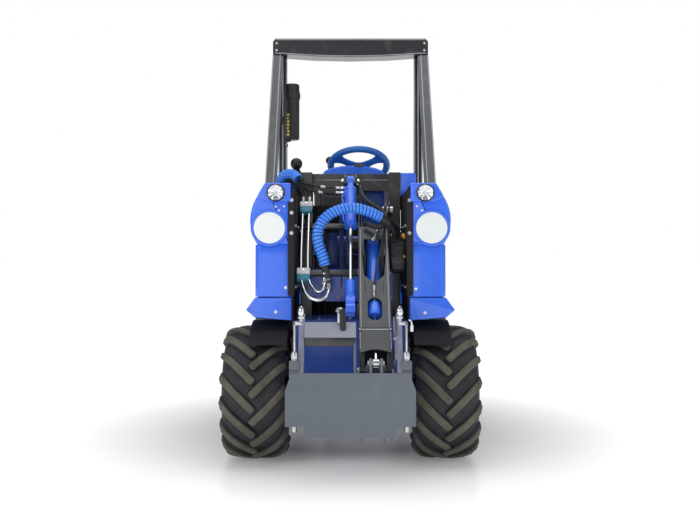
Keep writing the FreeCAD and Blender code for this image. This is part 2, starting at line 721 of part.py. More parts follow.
def make_coupling_block():
    """Hydraulic multi-coupling parked on the boom's right side, with its weather boot."""
    node("coupling_block", coupling_body(), IN_BOOM)
    node("coupling_boot", block("boom_x + boom_half + 2", -388, 11, 72, 141, 50), IN_BOOM)


def make_pipes_and_hoses():
    """Two bent pipes beside the boom, the guarded hose pair from them and the slot's hose."""
    pipes = [tube(in_boom_axes(route), SIZES["pipe_radius"])
             for route in (PIPE_OUTER, PIPE_INNER)]
    node("aux_pipes", together(*pipes), IN_BOOM)
    hose = cut(tube(in_boom_axes(AUX_HOSE), 22), coupling_body())
    node("aux_hose", hose, IN_BOOM)
    boots = []
    for pipe_end, top in ((PIPE_OUTER[-1], (-98, 402, 46)), (PIPE_INNER[-1], (-109, 401, 46))):
        boots.append(rod(*in_boom_axes((pipe_end, top)), 9))
    boots.append(rod(*in_boom_axes(((-103, 406, 43), AUX_HOSE[0])), 17))
    node("hose_fittings", cut(fused(*boots), *pipes, hose), IN_BOOM)
    node("slot_hose", cut(tube(in_boom_axes(SLOT_HOSE), 5), coupling_body()), IN_BOOM)


def make_supply_hose():
    """Guarded bundle of supply hoses arching out of the left pod."""
    node("supply_hose", tube(SUPPLY_HOSE, 21))


def make_boom_inner():
    """Sliding section: open channel, closed collar and the two tip eyes."""
    left = "boom_x - inner_half"
    wide = "2 * inner_half"
    channel = cut(
        block(left, "-(collar_end)", "-(inner_high)", wide, "collar_end - 100",
              "2 * inner_high"),
        block(f"{left} + boom_wall", "-(collar_end) - 5", "-(inner_high) + boom_wall",
              f"{wide} - 2 * boom_wall", "collar_end - 80", "2 * inner_high"))
    collar_start = "outer_end + gap"
    collar = cut(
        block("boom_x - boom_half", "-(collar_end)", "-(boom_high)", "2 * boom_half",
              f"collar_end - ({collar_start})", "2 * boom_high"),
        block("boom_x - inner_half + boom_wall", "-(collar_end) - 5",
              "-(inner_high) + boom_wall", "2 * inner_half - 2 * boom_wall",
              f"collar_end - ({collar_start}) + 10", "inner_high - boom_wall + 62"),
        block("boom_x - 38", "-(collar_end) - 5", 50, 76, 40, 40))
    eyes = []
    for start in ("boom_x - 58", "boom_x + 44"):
        eyes.append(plate("YZ", start, 14, [
            ("-(boom_length)", "-(tip_eye)"), ("-(boom_length)", "tip_eye"),
            ("-(collar_end) + 20", "boom_high - 14"),
            ("-(collar_end) + 20", "-(boom_high) + 10")]))
        eyes.append(bar(start, "-(boom_length)", 0, "tip_eye", 14, "X"))
    ears = []
    for start in ("boom_x - 36", "boom_x + 24"):
        ears.append(plate("YZ", start, 12, [
            ("-(tilt_back) - 16", "tilt_back_up + 16"), ("-(tilt_back) + 30", "tilt_back_up + 16"),
            ("-(tilt_back) + 30", "-(inner_high) + 2"),
            ("-(tilt_back) - 16", "-(inner_high) + 2")]))
    hole = bar("boom_x - 70", "-(boom_length)", 0, 12, 140, "X")
    node("boom_inner", cut(fused(channel, collar, *eyes, *ears), hole), IN_BOOM)


# ------------------------------------------------------------------ coupler

def make_coupler():
    """Quick coupler: face plate, two raked side bars, cross plate and pin lugs."""
    pin_y, pin_z = MAIN_PIN
    tilt_y, tilt_z = TILT_TIP
    back = "face_y + face_wall"
    face = plate("XZ", "face_y", "face_wall", [
        ("-(face_half)", "face_side"), (-178, "face_side"), (-178, "face_foot"),
        (178, "face_foot"), (178, "face_side"), ("face_half", "face_side"),
        ("face_half", 353), (234, 399), (234, "face_top"), (-234, "face_top"), (-234, 399),
        ("-(face_half)", 353)])
    pieces = [face]
    bar_outline = [(back, 260), (back, "face_top"), (-1045, 640), (-1010, 640), (-1125, 380),
                   (-1125, 260)]
    for start in ("-(side_outer)", "side_inner"):
        pieces.append(plate("YZ", start, "side_outer - side_inner", bar_outline))
    cross = [(-1121, 551), (-1064, 608), (-1054, 608), (-1111, 551)]
    pieces.append(plate("YZ", "-(side_inner)", "side_inner + 22", cross))
    pieces.append(plate("YZ", 12, 10, [(back, 380), (back, "face_top"), (-1085, 575),
                                       (-1056, 605), (-1140, 380)]))
    for start in ("boom_x - 27", "boom_x + 15"):
        pieces.append(plate("YZ", start, 12, [
            (back, 300), (back, "face_top"), (tilt_y, tilt_z + 20), (pin_y, pin_z + 28),
            (pin_y, pin_z - 28)]))
        pieces.append(bar(start, pin_y, pin_z, 28, 12, "X"))
        pieces.append(bar(start, tilt_y, tilt_z, 20, 12, "X"))
    for sign in (-1, 1):
        x = f"{sign} * lock_x"
        pieces.append(block(f"{x} - 20", back, 250, 40, 46, 20))
        pieces.append(block(f"{x} - 20", back, 430, 40, 46, 36))
        pieces.append(block(f"{x} - 20", back, 400, 40, 46, 30))
    for start in (36, 120, 154):
        pieces.append(block(start, back, 152, 14, 10, 60))
    pieces.append(block(-178, back, "face_foot + 10", 356, 30, 10))
    for start in ("boom_x - 31", "boom_x + 15"):
        pieces.append(bar(start, tilt_y, tilt_z, "tilt_pin + 2", 16, "X"))
    holes = [bar(0, pin_y, pin_z, 12, 200, "X")]
    for sign in (-1, 1):
        holes.append(bar(f"{sign} * lock_x", f"{back} + 24", 150, "lock_radius + 2.3", 400, "Z"))
    node("coupler_frame", cut(fused(*pieces), *holes))


def make_tip_pin():
    """The coupler's hinge pin, kept in the boom's tip eyes."""
    pin_y, pin_z = MAIN_PIN
    node("boom_tip_pin", bar("boom_x - 64", pin_y, pin_z, 11.7, 128, "X"))


def make_lock_pins():
    """The two sprung lock pins with their pull straps and knobs."""
    y = "face_y + face_wall + 24"
    tip = bar("lock_x", y, 188, "lock_radius", 62, "Z")
    shank = bar("lock_x", y, 250, "lock_radius + 2", 238, "Z")
    strap = block("lock_x - 4", f"{y} - 8", 480, 8, 16, 140)
    bridge = block("lock_x - 26", f"{y} - 8", 600, 30, 16, 20)
    knob = bar("lock_x - 26", y, 610, 11, 65, "Z")
    right = fused(tip, shank, strap, bridge, knob)
    node("lock_pins", together(right, mirrored(right)))


# ------------------------------------------------------------------ cylinders

def make_lift_cylinder():
    """Lift cylinder: barrel hung from the tower, rod down to the boom's side."""
    place = pointing(LIFT_TOP, LIFT_FOOT, 0)
    eye = bar(-15, 0, 0, 24, 30, "X")
    barrel = bar(0, -232, 0, "lift_radius", 196, "Y")
    neck = block(-14, -60, -16, 28, 40, 32)
    gland = block(-22, -264, -24, 44, 40, 48)
    pin = bar(-40, 0, 0, "lift_pin", 80, "X")
    bore = bar(0, -280, 0, "lift_rod_radius + 0.3", 220, "Y")
    made = cut(fused(eye, barrel, neck, gland), pin, bore)
    node("lift_barrel", made, place)
    length = LIFT_LENGTH
    rod = bar(0, -(length - 140), 0, "lift_rod_radius", length - 140 - 240, "Y")
    node("lift_rod", rod, place)
    eye_bar = block(-20, -(length - 20), -16, 40, 120, 32)
    eye_end = bar(-20, -length, 0, 30, 40, "X")
    node("lift_rod_eye", fused(eye_bar, eye_end), place)


def make_tilt_cylinder():
    """Tilt cylinder inside the boom's open channel."""
    place = pointing(TILT_BACK, TILT_TIP, SIZES["boom_x"])
    eye = bar(-15, 0, 0, 20, 30, "X")
    barrel = bar(0, "-(tilt_barrel)", 0, "tilt_radius", "tilt_barrel - 15", "Y")
    bore = bar(0, "-(tilt_barrel) - 15", 0, "tilt_rod_radius + 0.3", "tilt_barrel - 25", "Y")
    node("tilt_barrel", cut(fused(eye, barrel), bore), place)
    length = TILT_LENGTH
    rod = bar(0, -(length - 15), 0, "tilt_rod_radius", f"{length} - tilt_barrel + 80", "Y")
    eye_end = bar(-12, -length, 0, 18, 24, "X")
    node("tilt_rod", fused(rod, eye_end), place)


def make_steering_cylinder():
    """Steering cylinder between the two frames."""
    barrel = bar("steer_x", "steer_front_y + 16", "steer_z", 24, 274, "Y")
    eye = bar("steer_x", "steer_front_y", "steer_z - 22", 20, 44, "Z")
    bore = bar("steer_x", "steer_front_y + 24", "steer_z", 12.3, 280, "Y")
    node("steer_barrel", cut(fused(barrel, eye), bore))
    rod = bar("steer_x", "steer_front_y + 149", "steer_z", 12,
              "steer_rear_y - steer_front_y - 159", "Y")
    rod_eye = bar("steer_x", "steer_rear_y", "steer_z - 20", 20, 40, "Z")
    node("steer_rod", fused(rod, rod_eye))


# ------------------------------------------------------------------ rear frame

def make_rear_chassis():
    """Rear frame: pivot tube and web, two side plates, cross plates."""
    tube = bar(0, "pivot_y", "neck_low + neck_wall + 2", 45,
               "neck_high - neck_low - neck_wall - 4", "Z")
    web = block(-30, "pivot_y", 300, 60, "rear_front - pivot_y + 10", 160)
    outline = [("rear_front", "chassis_low"), ("rear_front", "rear_low_top"),
               ("rear_step", "rear_low_top"), ("rear_step", "chassis_top"),
               ("rear_back", "chassis_top"), ("rear_back", "chassis_low")]
    wall = "chassis_wall"
    pieces = [tube, web,
              plate("YZ", "-(rear_half)", wall, outline),
              plate("YZ", f"rear_half - {wall}", wall, outline),
              block("-(rear_half)", "rear_front", "chassis_low", "2 * rear_half", 12,
                    "rear_low_top - chassis_low"),
              block("-(rear_half)", "rear_front", "chassis_low", "2 * rear_half",
                    "rear_back - rear_front", 8),
              block("-(hood_half) + 10", "rear_step", "chassis_top", "2 * hood_half - 20",
                    "rear_back - rear_step", 8)]
    for low in ("steer_z - 36", "steer_z + 26"):
        pieces.append(block("steer_x - 24", "steer_rear_y - 20", low, 48,
                            "rear_front - steer_rear_y + 25", 10))
    holes = [bar(0, "pivot_y", 250, "pivot_pin", 300, "Z"),
             block(-180, 510, "chassis_top - 2", 360, 500, 20),
             bar("-(rear_half)", "rear_axle_y", "tyre_radius", 45, "2 * rear_half", "X")]
    node("rear_chassis", cut(fused(*pieces), *holes))


def make_engine():
    """The engine as one plain block between the side plates, up through the deck."""
    node("engine", block(-170, 520, "chassis_low + 120", 340, 480, 490))


def make_counterweight():
    """Cast weight across the tail with the drawbar jaw cut in it, lamps beside."""
    mass = block("-(weight_half)", "weight_front", "weight_low", "2 * weight_half",
                 "weight_back - weight_front", "weight_top - weight_low")
    jaw = block(-60, "weight_front + 35", 400, 120, 60, 80)
    hole = bar(0, "weight_back - 26", 340, 13, 300, "Z")
    node("counterweight", cut(mass, jaw, hole))
    lamps = []
    for start in (-305, 235):
        lamps.append(block(start, "weight_back", 540, 70, 12, 40))
    node("rear_lamps", together(*lamps))


def make_exhaust():
    """Tail pipe under the weight."""
    node("exhaust", bar(-120, 860, "chassis_low - 24", 24, 300, "Y"))


def make_hood():
    """Sheet hood hinged at its tail, with the grille in its rear wall."""
    outer = [("hood_front", "hood_low"), ("hood_front", "hood_top - 35"),
             ("hood_front + 35", "hood_top"), (900, "hood_top"), (1105, 950),
             ("hood_back", 900), ("hood_back", "hood_low + 40"),
             ("hood_back - 32", "hood_low + 40"), ("hood_back - 32", "hood_low")]
    wall = "hood_wall"
    inner = [(f"hood_front + {wall}", "hood_low - 10"),
             (f"hood_front + {wall}", f"hood_top - 36"),
             ("hood_front + 37", f"hood_top - {wall}"), (899, f"hood_top - {wall}"),
             (1103, 946), (f"hood_back - {wall}", 898), (f"hood_back - {wall}", "hood_low + 44"),
             (f"hood_back - 36", "hood_low + 44"), (f"hood_back - 36", "hood_low - 10")]
    shell = cut(plate("YZ", "-(hood_half)", "2 * hood_half", outer),
                plate("YZ", f"-(hood_half) + {wall}", f"2 * hood_half - 2 * {wall}", inner))
    opening = block(-180, "hood_back - 10", 700, 360, 20, 180)
    node("hood", cut(shell, opening))
    frame = block(-180, f"hood_back - {wall}", 700, 360, wall, 180)
    gaps = fused(*[block(-165, "hood_back - 10", 715 + 25 * i, 330, 20, 12) for i in range(6)])
    node("hood_grille", cut(frame, gaps))


# ------------------------------------------------------------------ build and write

for end_name, axle_place, half_name in (("front", "front_axle_y", "chassis_half"),
                                        ("rear", "rear_axle_y", "rear_half")):
    make_axle(f"{end_name}_axle", axle_place, half_name)
    for side_name, side_sign in (("left", -1), ("right", 1)):
        make_wheel(end_name, axle_place, side_name, side_sign)
make_front_chassis()
make_pivot_pin()
make_tower()
make_footwell_panel()
make_boom_pins()
make_pods()
make_mudguards()
make_lamps_and_discs()
make_platform()
make_seat()
make_dash()
make_console()
make_rops()
make_canister()
make_boom_outer()
make_coupling_block()
make_pipes_and_hoses()
make_supply_hose()
make_boom_inner()
make_coupler()
make_tip_pin()
make_lock_pins()
make_lift_cylinder()
make_tilt_cylinder()
make_steering_cylinder()
make_rear_chassis()
make_engine()
make_counterweight()
make_exhaust()
make_hood()

doc.recompute()
for item in doc.Objects:
    if "Invalid" in item.State or "Error" in item.State:
        raise RuntimeError(f"{item.Label} failed: {item.State}")
for item in NODES:
    if item.Shape.isNull() or not item.Shape.isValid():
        raise RuntimeError(f"{item.Label} has no valid shape")

os.makedirs("parts", exist_ok=True)
for item in NODES:
    item.Shape.exportStep(f"parts/{item.Label}.step")
    print(item.Label, len(item.Shape.Solids), round(item.Shape.Volume))
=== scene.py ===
"""Articulated mini loader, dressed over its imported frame.

The scene is in metres in the frame's own axes: the loader faces -Y and stands on Z = 0.
Helpers that take sizes in millimetres say so.  Shapes are grids of points worked out with
numpy.  A shape is a pair: an array of points, in metres, and a list of faces that index it.
"""

import json
import math

import bmesh
import bpy
import numpy as np
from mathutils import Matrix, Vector
from mathutils.geometry import tessellate_polygon


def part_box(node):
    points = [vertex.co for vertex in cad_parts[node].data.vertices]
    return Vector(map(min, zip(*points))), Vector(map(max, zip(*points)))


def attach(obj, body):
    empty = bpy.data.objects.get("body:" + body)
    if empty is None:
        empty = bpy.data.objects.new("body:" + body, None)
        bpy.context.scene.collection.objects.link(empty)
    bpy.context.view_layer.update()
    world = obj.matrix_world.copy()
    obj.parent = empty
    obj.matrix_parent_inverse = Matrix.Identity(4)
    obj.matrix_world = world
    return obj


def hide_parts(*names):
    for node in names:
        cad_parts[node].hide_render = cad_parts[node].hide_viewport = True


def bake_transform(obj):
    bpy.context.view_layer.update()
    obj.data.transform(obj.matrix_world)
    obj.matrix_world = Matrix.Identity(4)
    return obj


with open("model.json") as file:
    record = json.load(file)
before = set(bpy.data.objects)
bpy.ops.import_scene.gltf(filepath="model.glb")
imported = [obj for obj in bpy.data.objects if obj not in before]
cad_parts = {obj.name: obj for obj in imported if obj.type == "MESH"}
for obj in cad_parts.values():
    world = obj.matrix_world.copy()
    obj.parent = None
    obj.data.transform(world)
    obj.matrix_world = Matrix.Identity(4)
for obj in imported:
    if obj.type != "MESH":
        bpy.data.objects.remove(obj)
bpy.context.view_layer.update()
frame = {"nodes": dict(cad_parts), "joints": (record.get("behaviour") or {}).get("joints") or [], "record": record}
MM = 0.001
JOINTS = {joint["name"]: joint for joint in frame["joints"]}
BODY_OF = {node: body for body, nodes in frame["record"]["behaviour"]["bodies"].items()
           for node in nodes}


# ---------------------------------------------------------------- material helpers

def linear(code):
    """An sRGB hex colour as the linear RGBA that shaders read."""
    parts = np.array([int(code[i:i + 2], 16) for i in (1, 3, 5)]) / 255
    bright = ((parts + 0.055) / 1.055) ** 2.4
    return (*np.where(parts <= 0.04045, parts / 12.92, bright), 1.0)


def add(tree, kind, values=None, links=None, **settings):
    """Add one shader node with its settings, its input values and what feeds its inputs."""
    made = tree.nodes.new("ShaderNode" + kind)
    for name, value in settings.items():
        setattr(made, name, value)
    for socket, value in (values or {}).items():
        made.inputs[socket].default_value = value
    for socket, source in (links or {}).items():
        tree.links.new(source, made.inputs[socket])
    return made


def new_material(name, **surface):
    """A material whose shader has these fixed values, with its tree, shader and coordinates."""
    material = bpy.data.materials.new(name)
    material.use_nodes = True
    tree = material.node_tree
    shader = tree.nodes["Principled BSDF"]
    for socket, value in surface.items():
        shader.inputs[socket.replace("_", " ")].default_value = value
    place = add(tree, "TexCoord").outputs["Object"]
    return material, tree, shader, place


def grain(tree, place, size_mm, detail=4, stretch=(1, 1, 1)):
    """Noise whose features are about size_mm across, from 0 to 1."""
    turned = add(tree, "Mapping", {"Scale": stretch}, {"Vector": place})
    noise = add(tree, "TexNoise", {"Scale": 0.6 / (size_mm * MM), "Detail": detail},
                {"Vector": turned.outputs[0]})
    return noise.outputs[0]


def ramp(tree, factor, low, high, first, last):
    """Carry a factor between low and high to values between first and last."""
    made = add(tree, "MapRange", {"From Min": low, "From Max": high, "To Min": first,
                                  "To Max": last}, {"Value": factor})
    return made.outputs[0]


def mix(tree, factor, first, last):
    """Two colours, each a hex code or a socket, mixed by a factor."""
    made = add(tree, "Mix", data_type="RGBA")
    tree.links.new(factor, made.inputs[0])
    for socket, colour in ((made.inputs[6], first), (made.inputs[7], last)):
        if isinstance(colour, str):
            socket.default_value = linear(colour)
        else:
            tree.links.new(colour, socket)
    return made.outputs[2]


def relief(tree, shader, height, depth_mm, before=None):
    """Bump of a real depth from a height socket."""
    made = add(tree, "Bump", {"Strength": 1.0, "Distance": depth_mm * MM}, {"Height": height})
    if before is not None:
        tree.links.new(before, made.inputs["Normal"])
    tree.links.new(made.outputs[0], shader.inputs["Normal"])
    return made.outputs[0]


def feed(tree, shader, **sockets):
    """Link sockets to the shader's inputs."""
    for name, source in sockets.items():
        tree.links.new(source, shader.inputs[name.replace("_", " ")])


def powder_coat(name, colour, deep, rough, coat):
    """Powder coat on steel: thick film with orange peel a few mm across, and dust in patches."""
    material, tree, shader, place = new_material(name, Coat_Weight=coat, Coat_Roughness=0.12)
    broad = grain(tree, place, 190, 3)
    speck = grain(tree, place, 3.2, 5)
    body = mix(tree, ramp(tree, broad, 0.3, 0.7, 0, 1), deep, colour)
    dust = ramp(tree, grain(tree, place, 45, 8), 0.56, 0.8, 0, 0.16)
    feed(tree, shader, Base_Color=mix(tree, dust, body, "#8e8a84"),
         Roughness=ramp(tree, speck, 0.3, 0.7, rough - 0.05, rough + 0.07))
    relief(tree, shader, grain(tree, place, 3.6, 2), 0.045)
    return material


def cast_iron(name, colour):
    """Painted sand casting: pebbled skin with grains of 2 mm and blunt swells of 40 mm."""
    material, tree, shader, place = new_material(name)
    skin = grain(tree, place, 2.2, 6)
    feed(tree, shader, Base_Color=mix(tree, skin, colour, "#4a4c50"),
         Roughness=ramp(tree, skin, 0.3, 0.7, 0.5, 0.72))
    swell = relief(tree, shader, grain(tree, place, 40, 2), 0.8)
    relief(tree, shader, skin, 0.35, swell)
    return material


def plated_steel(name, colour, rough, tint):
    """Zinc plate on steel: bright, slightly mottled, with fine drawn lines."""
    material, tree, shader, place = new_material(name, Metallic=1.0)
    cloud = grain(tree, place, 14, 5)
    feed(tree, shader, Base_Color=mix(tree, cloud, colour, tint),
         Roughness=ramp(tree, cloud, 0.3, 0.7, rough, rough + 0.14))
    relief(tree, shader, grain(tree, place, 1.2, 3, (1, 1, 6)), 0.02)
    return material


def hard_chrome(name):
    """Hard chrome on a ground rod: near mirror with faint grinding lines round it."""
    material, tree, shader, place = new_material(name, Metallic=1.0)
    lines = grain(tree, place, 1.5, 2, (1, 8, 8))
    feed(tree, shader, Base_Color=mix(tree, lines, "#dfe0e2", "#c9cbd0"),
         Roughness=ramp(tree, lines, 0.3, 0.7, 0.07, 0.16))
    relief(tree, shader, lines, 0.006)
    return material


def moulded_plastic(name, colour, worn, rough, pebble_mm=0.9):
    """Moulded plastic with a spark-eroded grain, drawn about 1 mm coarse so that it shows."""
    material, tree, shader, place = new_material(name)
    pebble = grain(tree, place, pebble_mm, 2)
    scuff = ramp(tree, grain(tree, place, 26, 7), 0.52, 0.75, 0, 0.5)
    feed(tree, shader, Base_Color=mix(tree, scuff, colour, worn),
         Roughness=ramp(tree, pebble, 0.3, 0.7, rough - 0.06, rough + 0.08))
    relief(tree, shader, pebble, 0.05)
    return material


def tyre_rubber():
    """Field tyre: bluish black carcass, lug tops scuffed to an olive grey."""
    material, tree, shader, place = new_material("tyre_rubber")
    top = add(tree, "Attribute", attribute_name="lug_top").outputs["Fac"]
    fine = grain(tree, place, 2.4, 6)
    cloud = grain(tree, place, 34, 6)
    carcass = mix(tree, ramp(tree, cloud, 0.35, 0.7, 0, 1), "#1e1e24", "#2e2e36")
    scuffed = mix(tree, ramp(tree, cloud, 0.3, 0.7, 0, 1), "#46453a", "#5f5d4f")
    feed(tree, shader, Base_Color=mix(tree, top, carcass, scuffed),
         Roughness=ramp(tree, fine, 0.3, 0.7, 0.52, 0.72))
    waves = relief(tree, shader, grain(tree, place, 11, 4), 0.55)
    relief(tree, shader, fine, 0.22, waves)
    return material


def hose_rubber():
    """Hydraulic hose cover: matt rubber with the wrap marks of its cure, 1.5 mm apart."""
    material, tree, shader, place = new_material("hose_rubber")
    wrap = grain(tree, place, 1.5, 2)
    feed(tree, shader, Base_Color=mix(tree, wrap, "#17171a", "#2a2a2e"),
         Roughness=ramp(tree, wrap, 0.3, 0.7, 0.42, 0.6))
    relief(tree, shader, wrap, 0.08)
    return material


def spiral_plastic(name, colour, deep):
    """Polyethylene spiral guard: a waxy sheen, its colour clouded by grime."""
    material, tree, shader, place = new_material(name, Specular_IOR_Level=0.45)
    cloud = grain(tree, place, 20, 5)
    feed(tree, shader, Base_Color=mix(tree, cloud, deep, colour),
         Roughness=ramp(tree, cloud, 0.3, 0.7, 0.2, 0.34))
    relief(tree, shader, grain(tree, place, 1.8, 3), 0.03)
    return material


def reflective_sheeting():
    """White retroreflective sheet: tiny sealed cells, about 3 mm across, under a clear film."""
    material, tree, shader, place = new_material("reflective_sheeting", Coat_Weight=0.6,
                                                 Coat_Roughness=0.08)
    cells = add(tree, "TexVoronoi", {"Scale": 1 / (3.2 * MM)}, {"Vector": place},
                feature="DISTANCE_TO_EDGE").outputs["Distance"]
    wall = ramp(tree, cells, 0.0, 0.12, 0, 1)
    feed(tree, shader, Base_Color=mix(tree, wall, "#d4dbdd", "#e9eded"),
         Roughness=ramp(tree, wall, 0, 1, 0.34, 0.26))
    relief(tree, shader, wall, 0.02)
    return material


def lamp_reflector():
    """Vacuum-metallised reflector: mirror bright, its cells shaped in the mesh."""
    material, tree, shader, place = new_material("lamp_reflector", Metallic=1.0)
    haze = grain(tree, place, 6, 3)
    feed(tree, shader, Base_Color=mix(tree, haze, "#f0f1f3", "#c9ccd2"),
         Roughness=ramp(tree, haze, 0.3, 0.7, 0.05, 0.14))
    return material


def clear_glass():
    """Thin pressed glass with faint flutes, so thin that the bowl shows straight through."""
    material, tree, shader, place = new_material("clear_glass", Transmission_Weight=0.95,
                                                 IOR=1.5, Alpha=0.3)
    flute = grain(tree, place, 4, 1, (6, 1, 1))
    feed(tree, shader, Base_Color=mix(tree, flute, "#f4f7f8", "#e9eff2"),
         Roughness=ramp(tree, flute, 0.3, 0.7, 0.01, 0.05))
    relief(tree, shader, flute, 0.05)
    return material


def lens_plastic(name, colour, deep):
    """Acrylic lamp lens with prism dimples 4 mm apart."""
    material, tree, shader, place = new_material(name, Coat_Weight=0.5, Coat_Roughness=0.05)
    dimple = add(tree, "TexVoronoi", {"Scale": 1 / (4 * MM)}, {"Vector": place})
    factor = ramp(tree, dimple.outputs["Distance"], 0, 0.6, 0, 1)
    feed(tree, shader, Base_Color=mix(tree, factor, colour, deep),
         Roughness=ramp(tree, factor, 0, 1, 0.12, 0.25))
    relief(tree, shader, factor, 0.25)
    return material


def seat_vinyl():
    """Coated seat fabric: leather grain with cells of 2 mm and creases of 12 mm."""
    material, tree, shader, place = new_material("seat_vinyl", Sheen_Weight=0.12)
    cells = add(tree, "TexVoronoi", {"Scale": 1 / (2.2 * MM)}, {"Vector": place},
                feature="DISTANCE_TO_EDGE").outputs["Distance"]
    pore = ramp(tree, cells, 0.0, 0.2, 0, 1)
    crease = grain(tree, place, 12, 5)
    feed(tree, shader, Base_Color=mix(tree, crease, "#17181b", "#2b2c30"),
         Roughness=ramp(tree, pore, 0, 1, 0.62, 0.44))
    folds = relief(tree, shader, crease, 0.4)
    relief(tree, shader, pore, 0.12, folds)
    return material


def tread_plate():
    """Grit-blasted deck paint: coarse anti-slip grains 1.6 mm across."""
    material, tree, shader, place = new_material("deck_paint")
    grit = grain(tree, place, 1.6, 3)
    feed(tree, shader, Base_Color=mix(tree, grit, "#26282c", "#3d4046"),
         Roughness=ramp(tree, grit, 0.3, 0.7, 0.6, 0.82))
    relief(tree, shader, grit, 0.4)
    return material


BLUE_COAT = powder_coat("blue_powder_coat", "#2a6cf0", "#2262e4", 0.32, 0.7)
ANTHRACITE = powder_coat("anthracite_powder_coat", "#1f2126", "#191b1f", 0.34, 0.5)
BOOM_GREY = powder_coat("boom_grey_coat", "#34373c", "#2c2f33", 0.42, 0.3)
COUPLER_GREY = powder_coat("coupler_grey_coat", "#5c646d", "#535b64", 0.44, 0.2)
# The coupler's grey lightened as painted light, for its plates that face up into the overhead light.
LIT_COUPLER_GREY = powder_coat("coupler_grey_lightened_as_painted_light", "#83879a", "#777b8c", 0.42, 0.2)
# The loader's blue darkened as painted shade, for the chassis and the blue parts behind the tower that lie in
# shadow.
SHADED_BLUE = powder_coat("blue_coat_darkened_as_painted_shade", "#15429f", "#113789", 0.4, 0.3)
# Pale grey for painted highlight lines along edges of the boom, tower and roll bar.
HIGHLIGHT_GREY = powder_coat("pale_grey_painted_highlight_coat", "#9a9ea8", "#868a94", 0.4, 0.25)
RIM_SILVER = powder_coat("rim_silver_paint", "#a4a7ab", "#93969b", 0.36, 0.25)
BLACK_COAT = powder_coat("black_chassis_paint", "#1d1e21", "#16171a", 0.45, 0.15)
IRON = cast_iron("painted_cast_iron", "#2b2d32")
ENGINE_IRON = cast_iron("engine_iron", "#35383c")
ZINC = plated_steel("zinc_plate", "#cdd1d4", 0.22, "#a9adb0")
YELLOW_ZINC = plated_steel("yellow_zinc_plate", "#cfc28f", 0.3, "#a8a294")
EXHAUST_STEEL = plated_steel("heat_tinted_steel", "#8b8580", 0.4, "#5f5650")
CHROME = hard_chrome("hard_chrome")
BLACK_PLASTIC = moulded_plastic("black_abs", "#141517", "#242528", 0.46)
LINER = moulded_plastic("black_liner", "#08080a", "#141416", 0.7)
YELLOW_INK = moulded_plastic("yellow_print", "#c9b52a", "#8f8430", 0.5)
WHEEL_BLUE = moulded_plastic("blue_soft_plastic", "#1c5fae", "#2a6fbf", 0.42)
BLUE_PLASTIC = moulded_plastic("blue_moulded_plastic", "#2463dc", "#2f6fe0", 0.34, 1.2)
WHITE_CLAMP = moulded_plastic("white_nylon", "#e6eaec", "#cdd4d8", 0.4)
TEAL_CLAMP = moulded_plastic("teal_nylon", "#3d8aa5", "#2c6d86", 0.4)
AMBER_CAP = moulded_plastic("amber_plastic_cap", "#d49a2e", "#b77c1c", 0.36)
TYRE = tyre_rubber()
HOSE = hose_rubber()
GUARD_BLUE = spiral_plastic("blue_spiral_guard", "#4a97ff", "#3477ea")
GUARD_BLACK = spiral_plastic("black_spiral_guard", "#2b2b2f", "#161618")
SHEETING = reflective_sheeting()
REFLECTOR = lamp_reflector()
GLASS = clear_glass()
RED_LENS = lens_plastic("red_acrylic_lens", "#b3161a", "#7c0d10")
VINYL = seat_vinyl()
DECK = tread_plate()


# ---------------------------------------------------------------- shape helpers

def grid(points, around=False, along=False):
    """Faces over a grid of points (rows, columns, 3); around joins the last column to the
    first, along joins the last row to the first."""
    rows, columns = points.shape[:2]
    index = np.arange(rows * columns).reshape(rows, columns)
    if around:
        index = np.concatenate([index, index[:, :1]], axis=1)
    if along:
        index = np.concatenate([index, index[:1]], axis=0)
    faces = np.stack([index[:-1, :-1], index[:-1, 1:], index[1:, 1:], index[1:, :-1]], axis=-1)
    return points.reshape(-1, 3), faces.reshape(-1, 4).tolist()


def capped(points):
    """A grid closed around, with a face over its first and its last ring."""
    spots, faces = grid(points, around=True)
    rows, columns = points.shape[:2]
    first = list(range(columns))
    last = [(rows - 1) * columns + i for i in first]
    return spots, faces + [first, last[::-1]]


def joined(*shapes):
    """Several shapes as one."""
    spots, faces, count = [], [], 0
    for points, corners in shapes:
        spots.append(np.asarray(points, float))
        faces += [[i + count for i in corner] for corner in corners]
        count += len(points)
    return np.concatenate(spots), faces


def mirrored(shape):
    """The shape on the loader's other side."""
    points, faces = shape
    return points * (-1, 1, 1), [face[::-1] for face in faces]


def across(axis):
    """Two unit vectors square to an axis and to each other."""
    axis = np.asarray(axis, float) / np.linalg.norm(axis)
    guide = np.array((0, 0, 1.0)) if abs(axis[2]) < 0.9 else np.array((1.0, 0, 0))
    side = np.cross(guide, axis)
    side /= np.linalg.norm(side)
    return side, np.cross(axis, side), axis


def turned(profile, centre, axis, sides=32, ring_shaped=False):
    """A profile of (along, radius) pairs turned about an axis through the centre: each point
    is centre + axis * along + radius * (cos, sin) of the turn.  A ring-shaped one closes on
    itself; any other ends in flat faces."""
    side, up, axis = across(axis)
    profile = np.asarray(profile, float)
    turn = np.linspace(0, math.tau, sides, endpoint=False)
    ring = np.cos(turn)[:, None] * side + np.sin(turn)[:, None] * up
    points = (np.asarray(centre) + profile[:, 0, None, None] * axis
              + profile[:, 1, None, None] * ring[None])
    return grid(points, around=True, along=True) if ring_shaped else capped(points)


def softened(outline, times=2, closed=True):
    """Corner cutting: each corner is replaced by points a quarter of the way along its sides."""
    outline = np.asarray(outline, float)
    for _ in range(times):
        following = np.roll(outline, -1, axis=0) if closed else outline[1:]
        here = outline if closed else outline[:-1]
        cut = np.stack([0.75 * here + 0.25 * following, 0.25 * here + 0.75 * following], 1)
        cut = cut.reshape(-1, outline.shape[1])
        outline = cut if closed else np.concatenate([outline[:1], cut, outline[-1:]])
    return outline


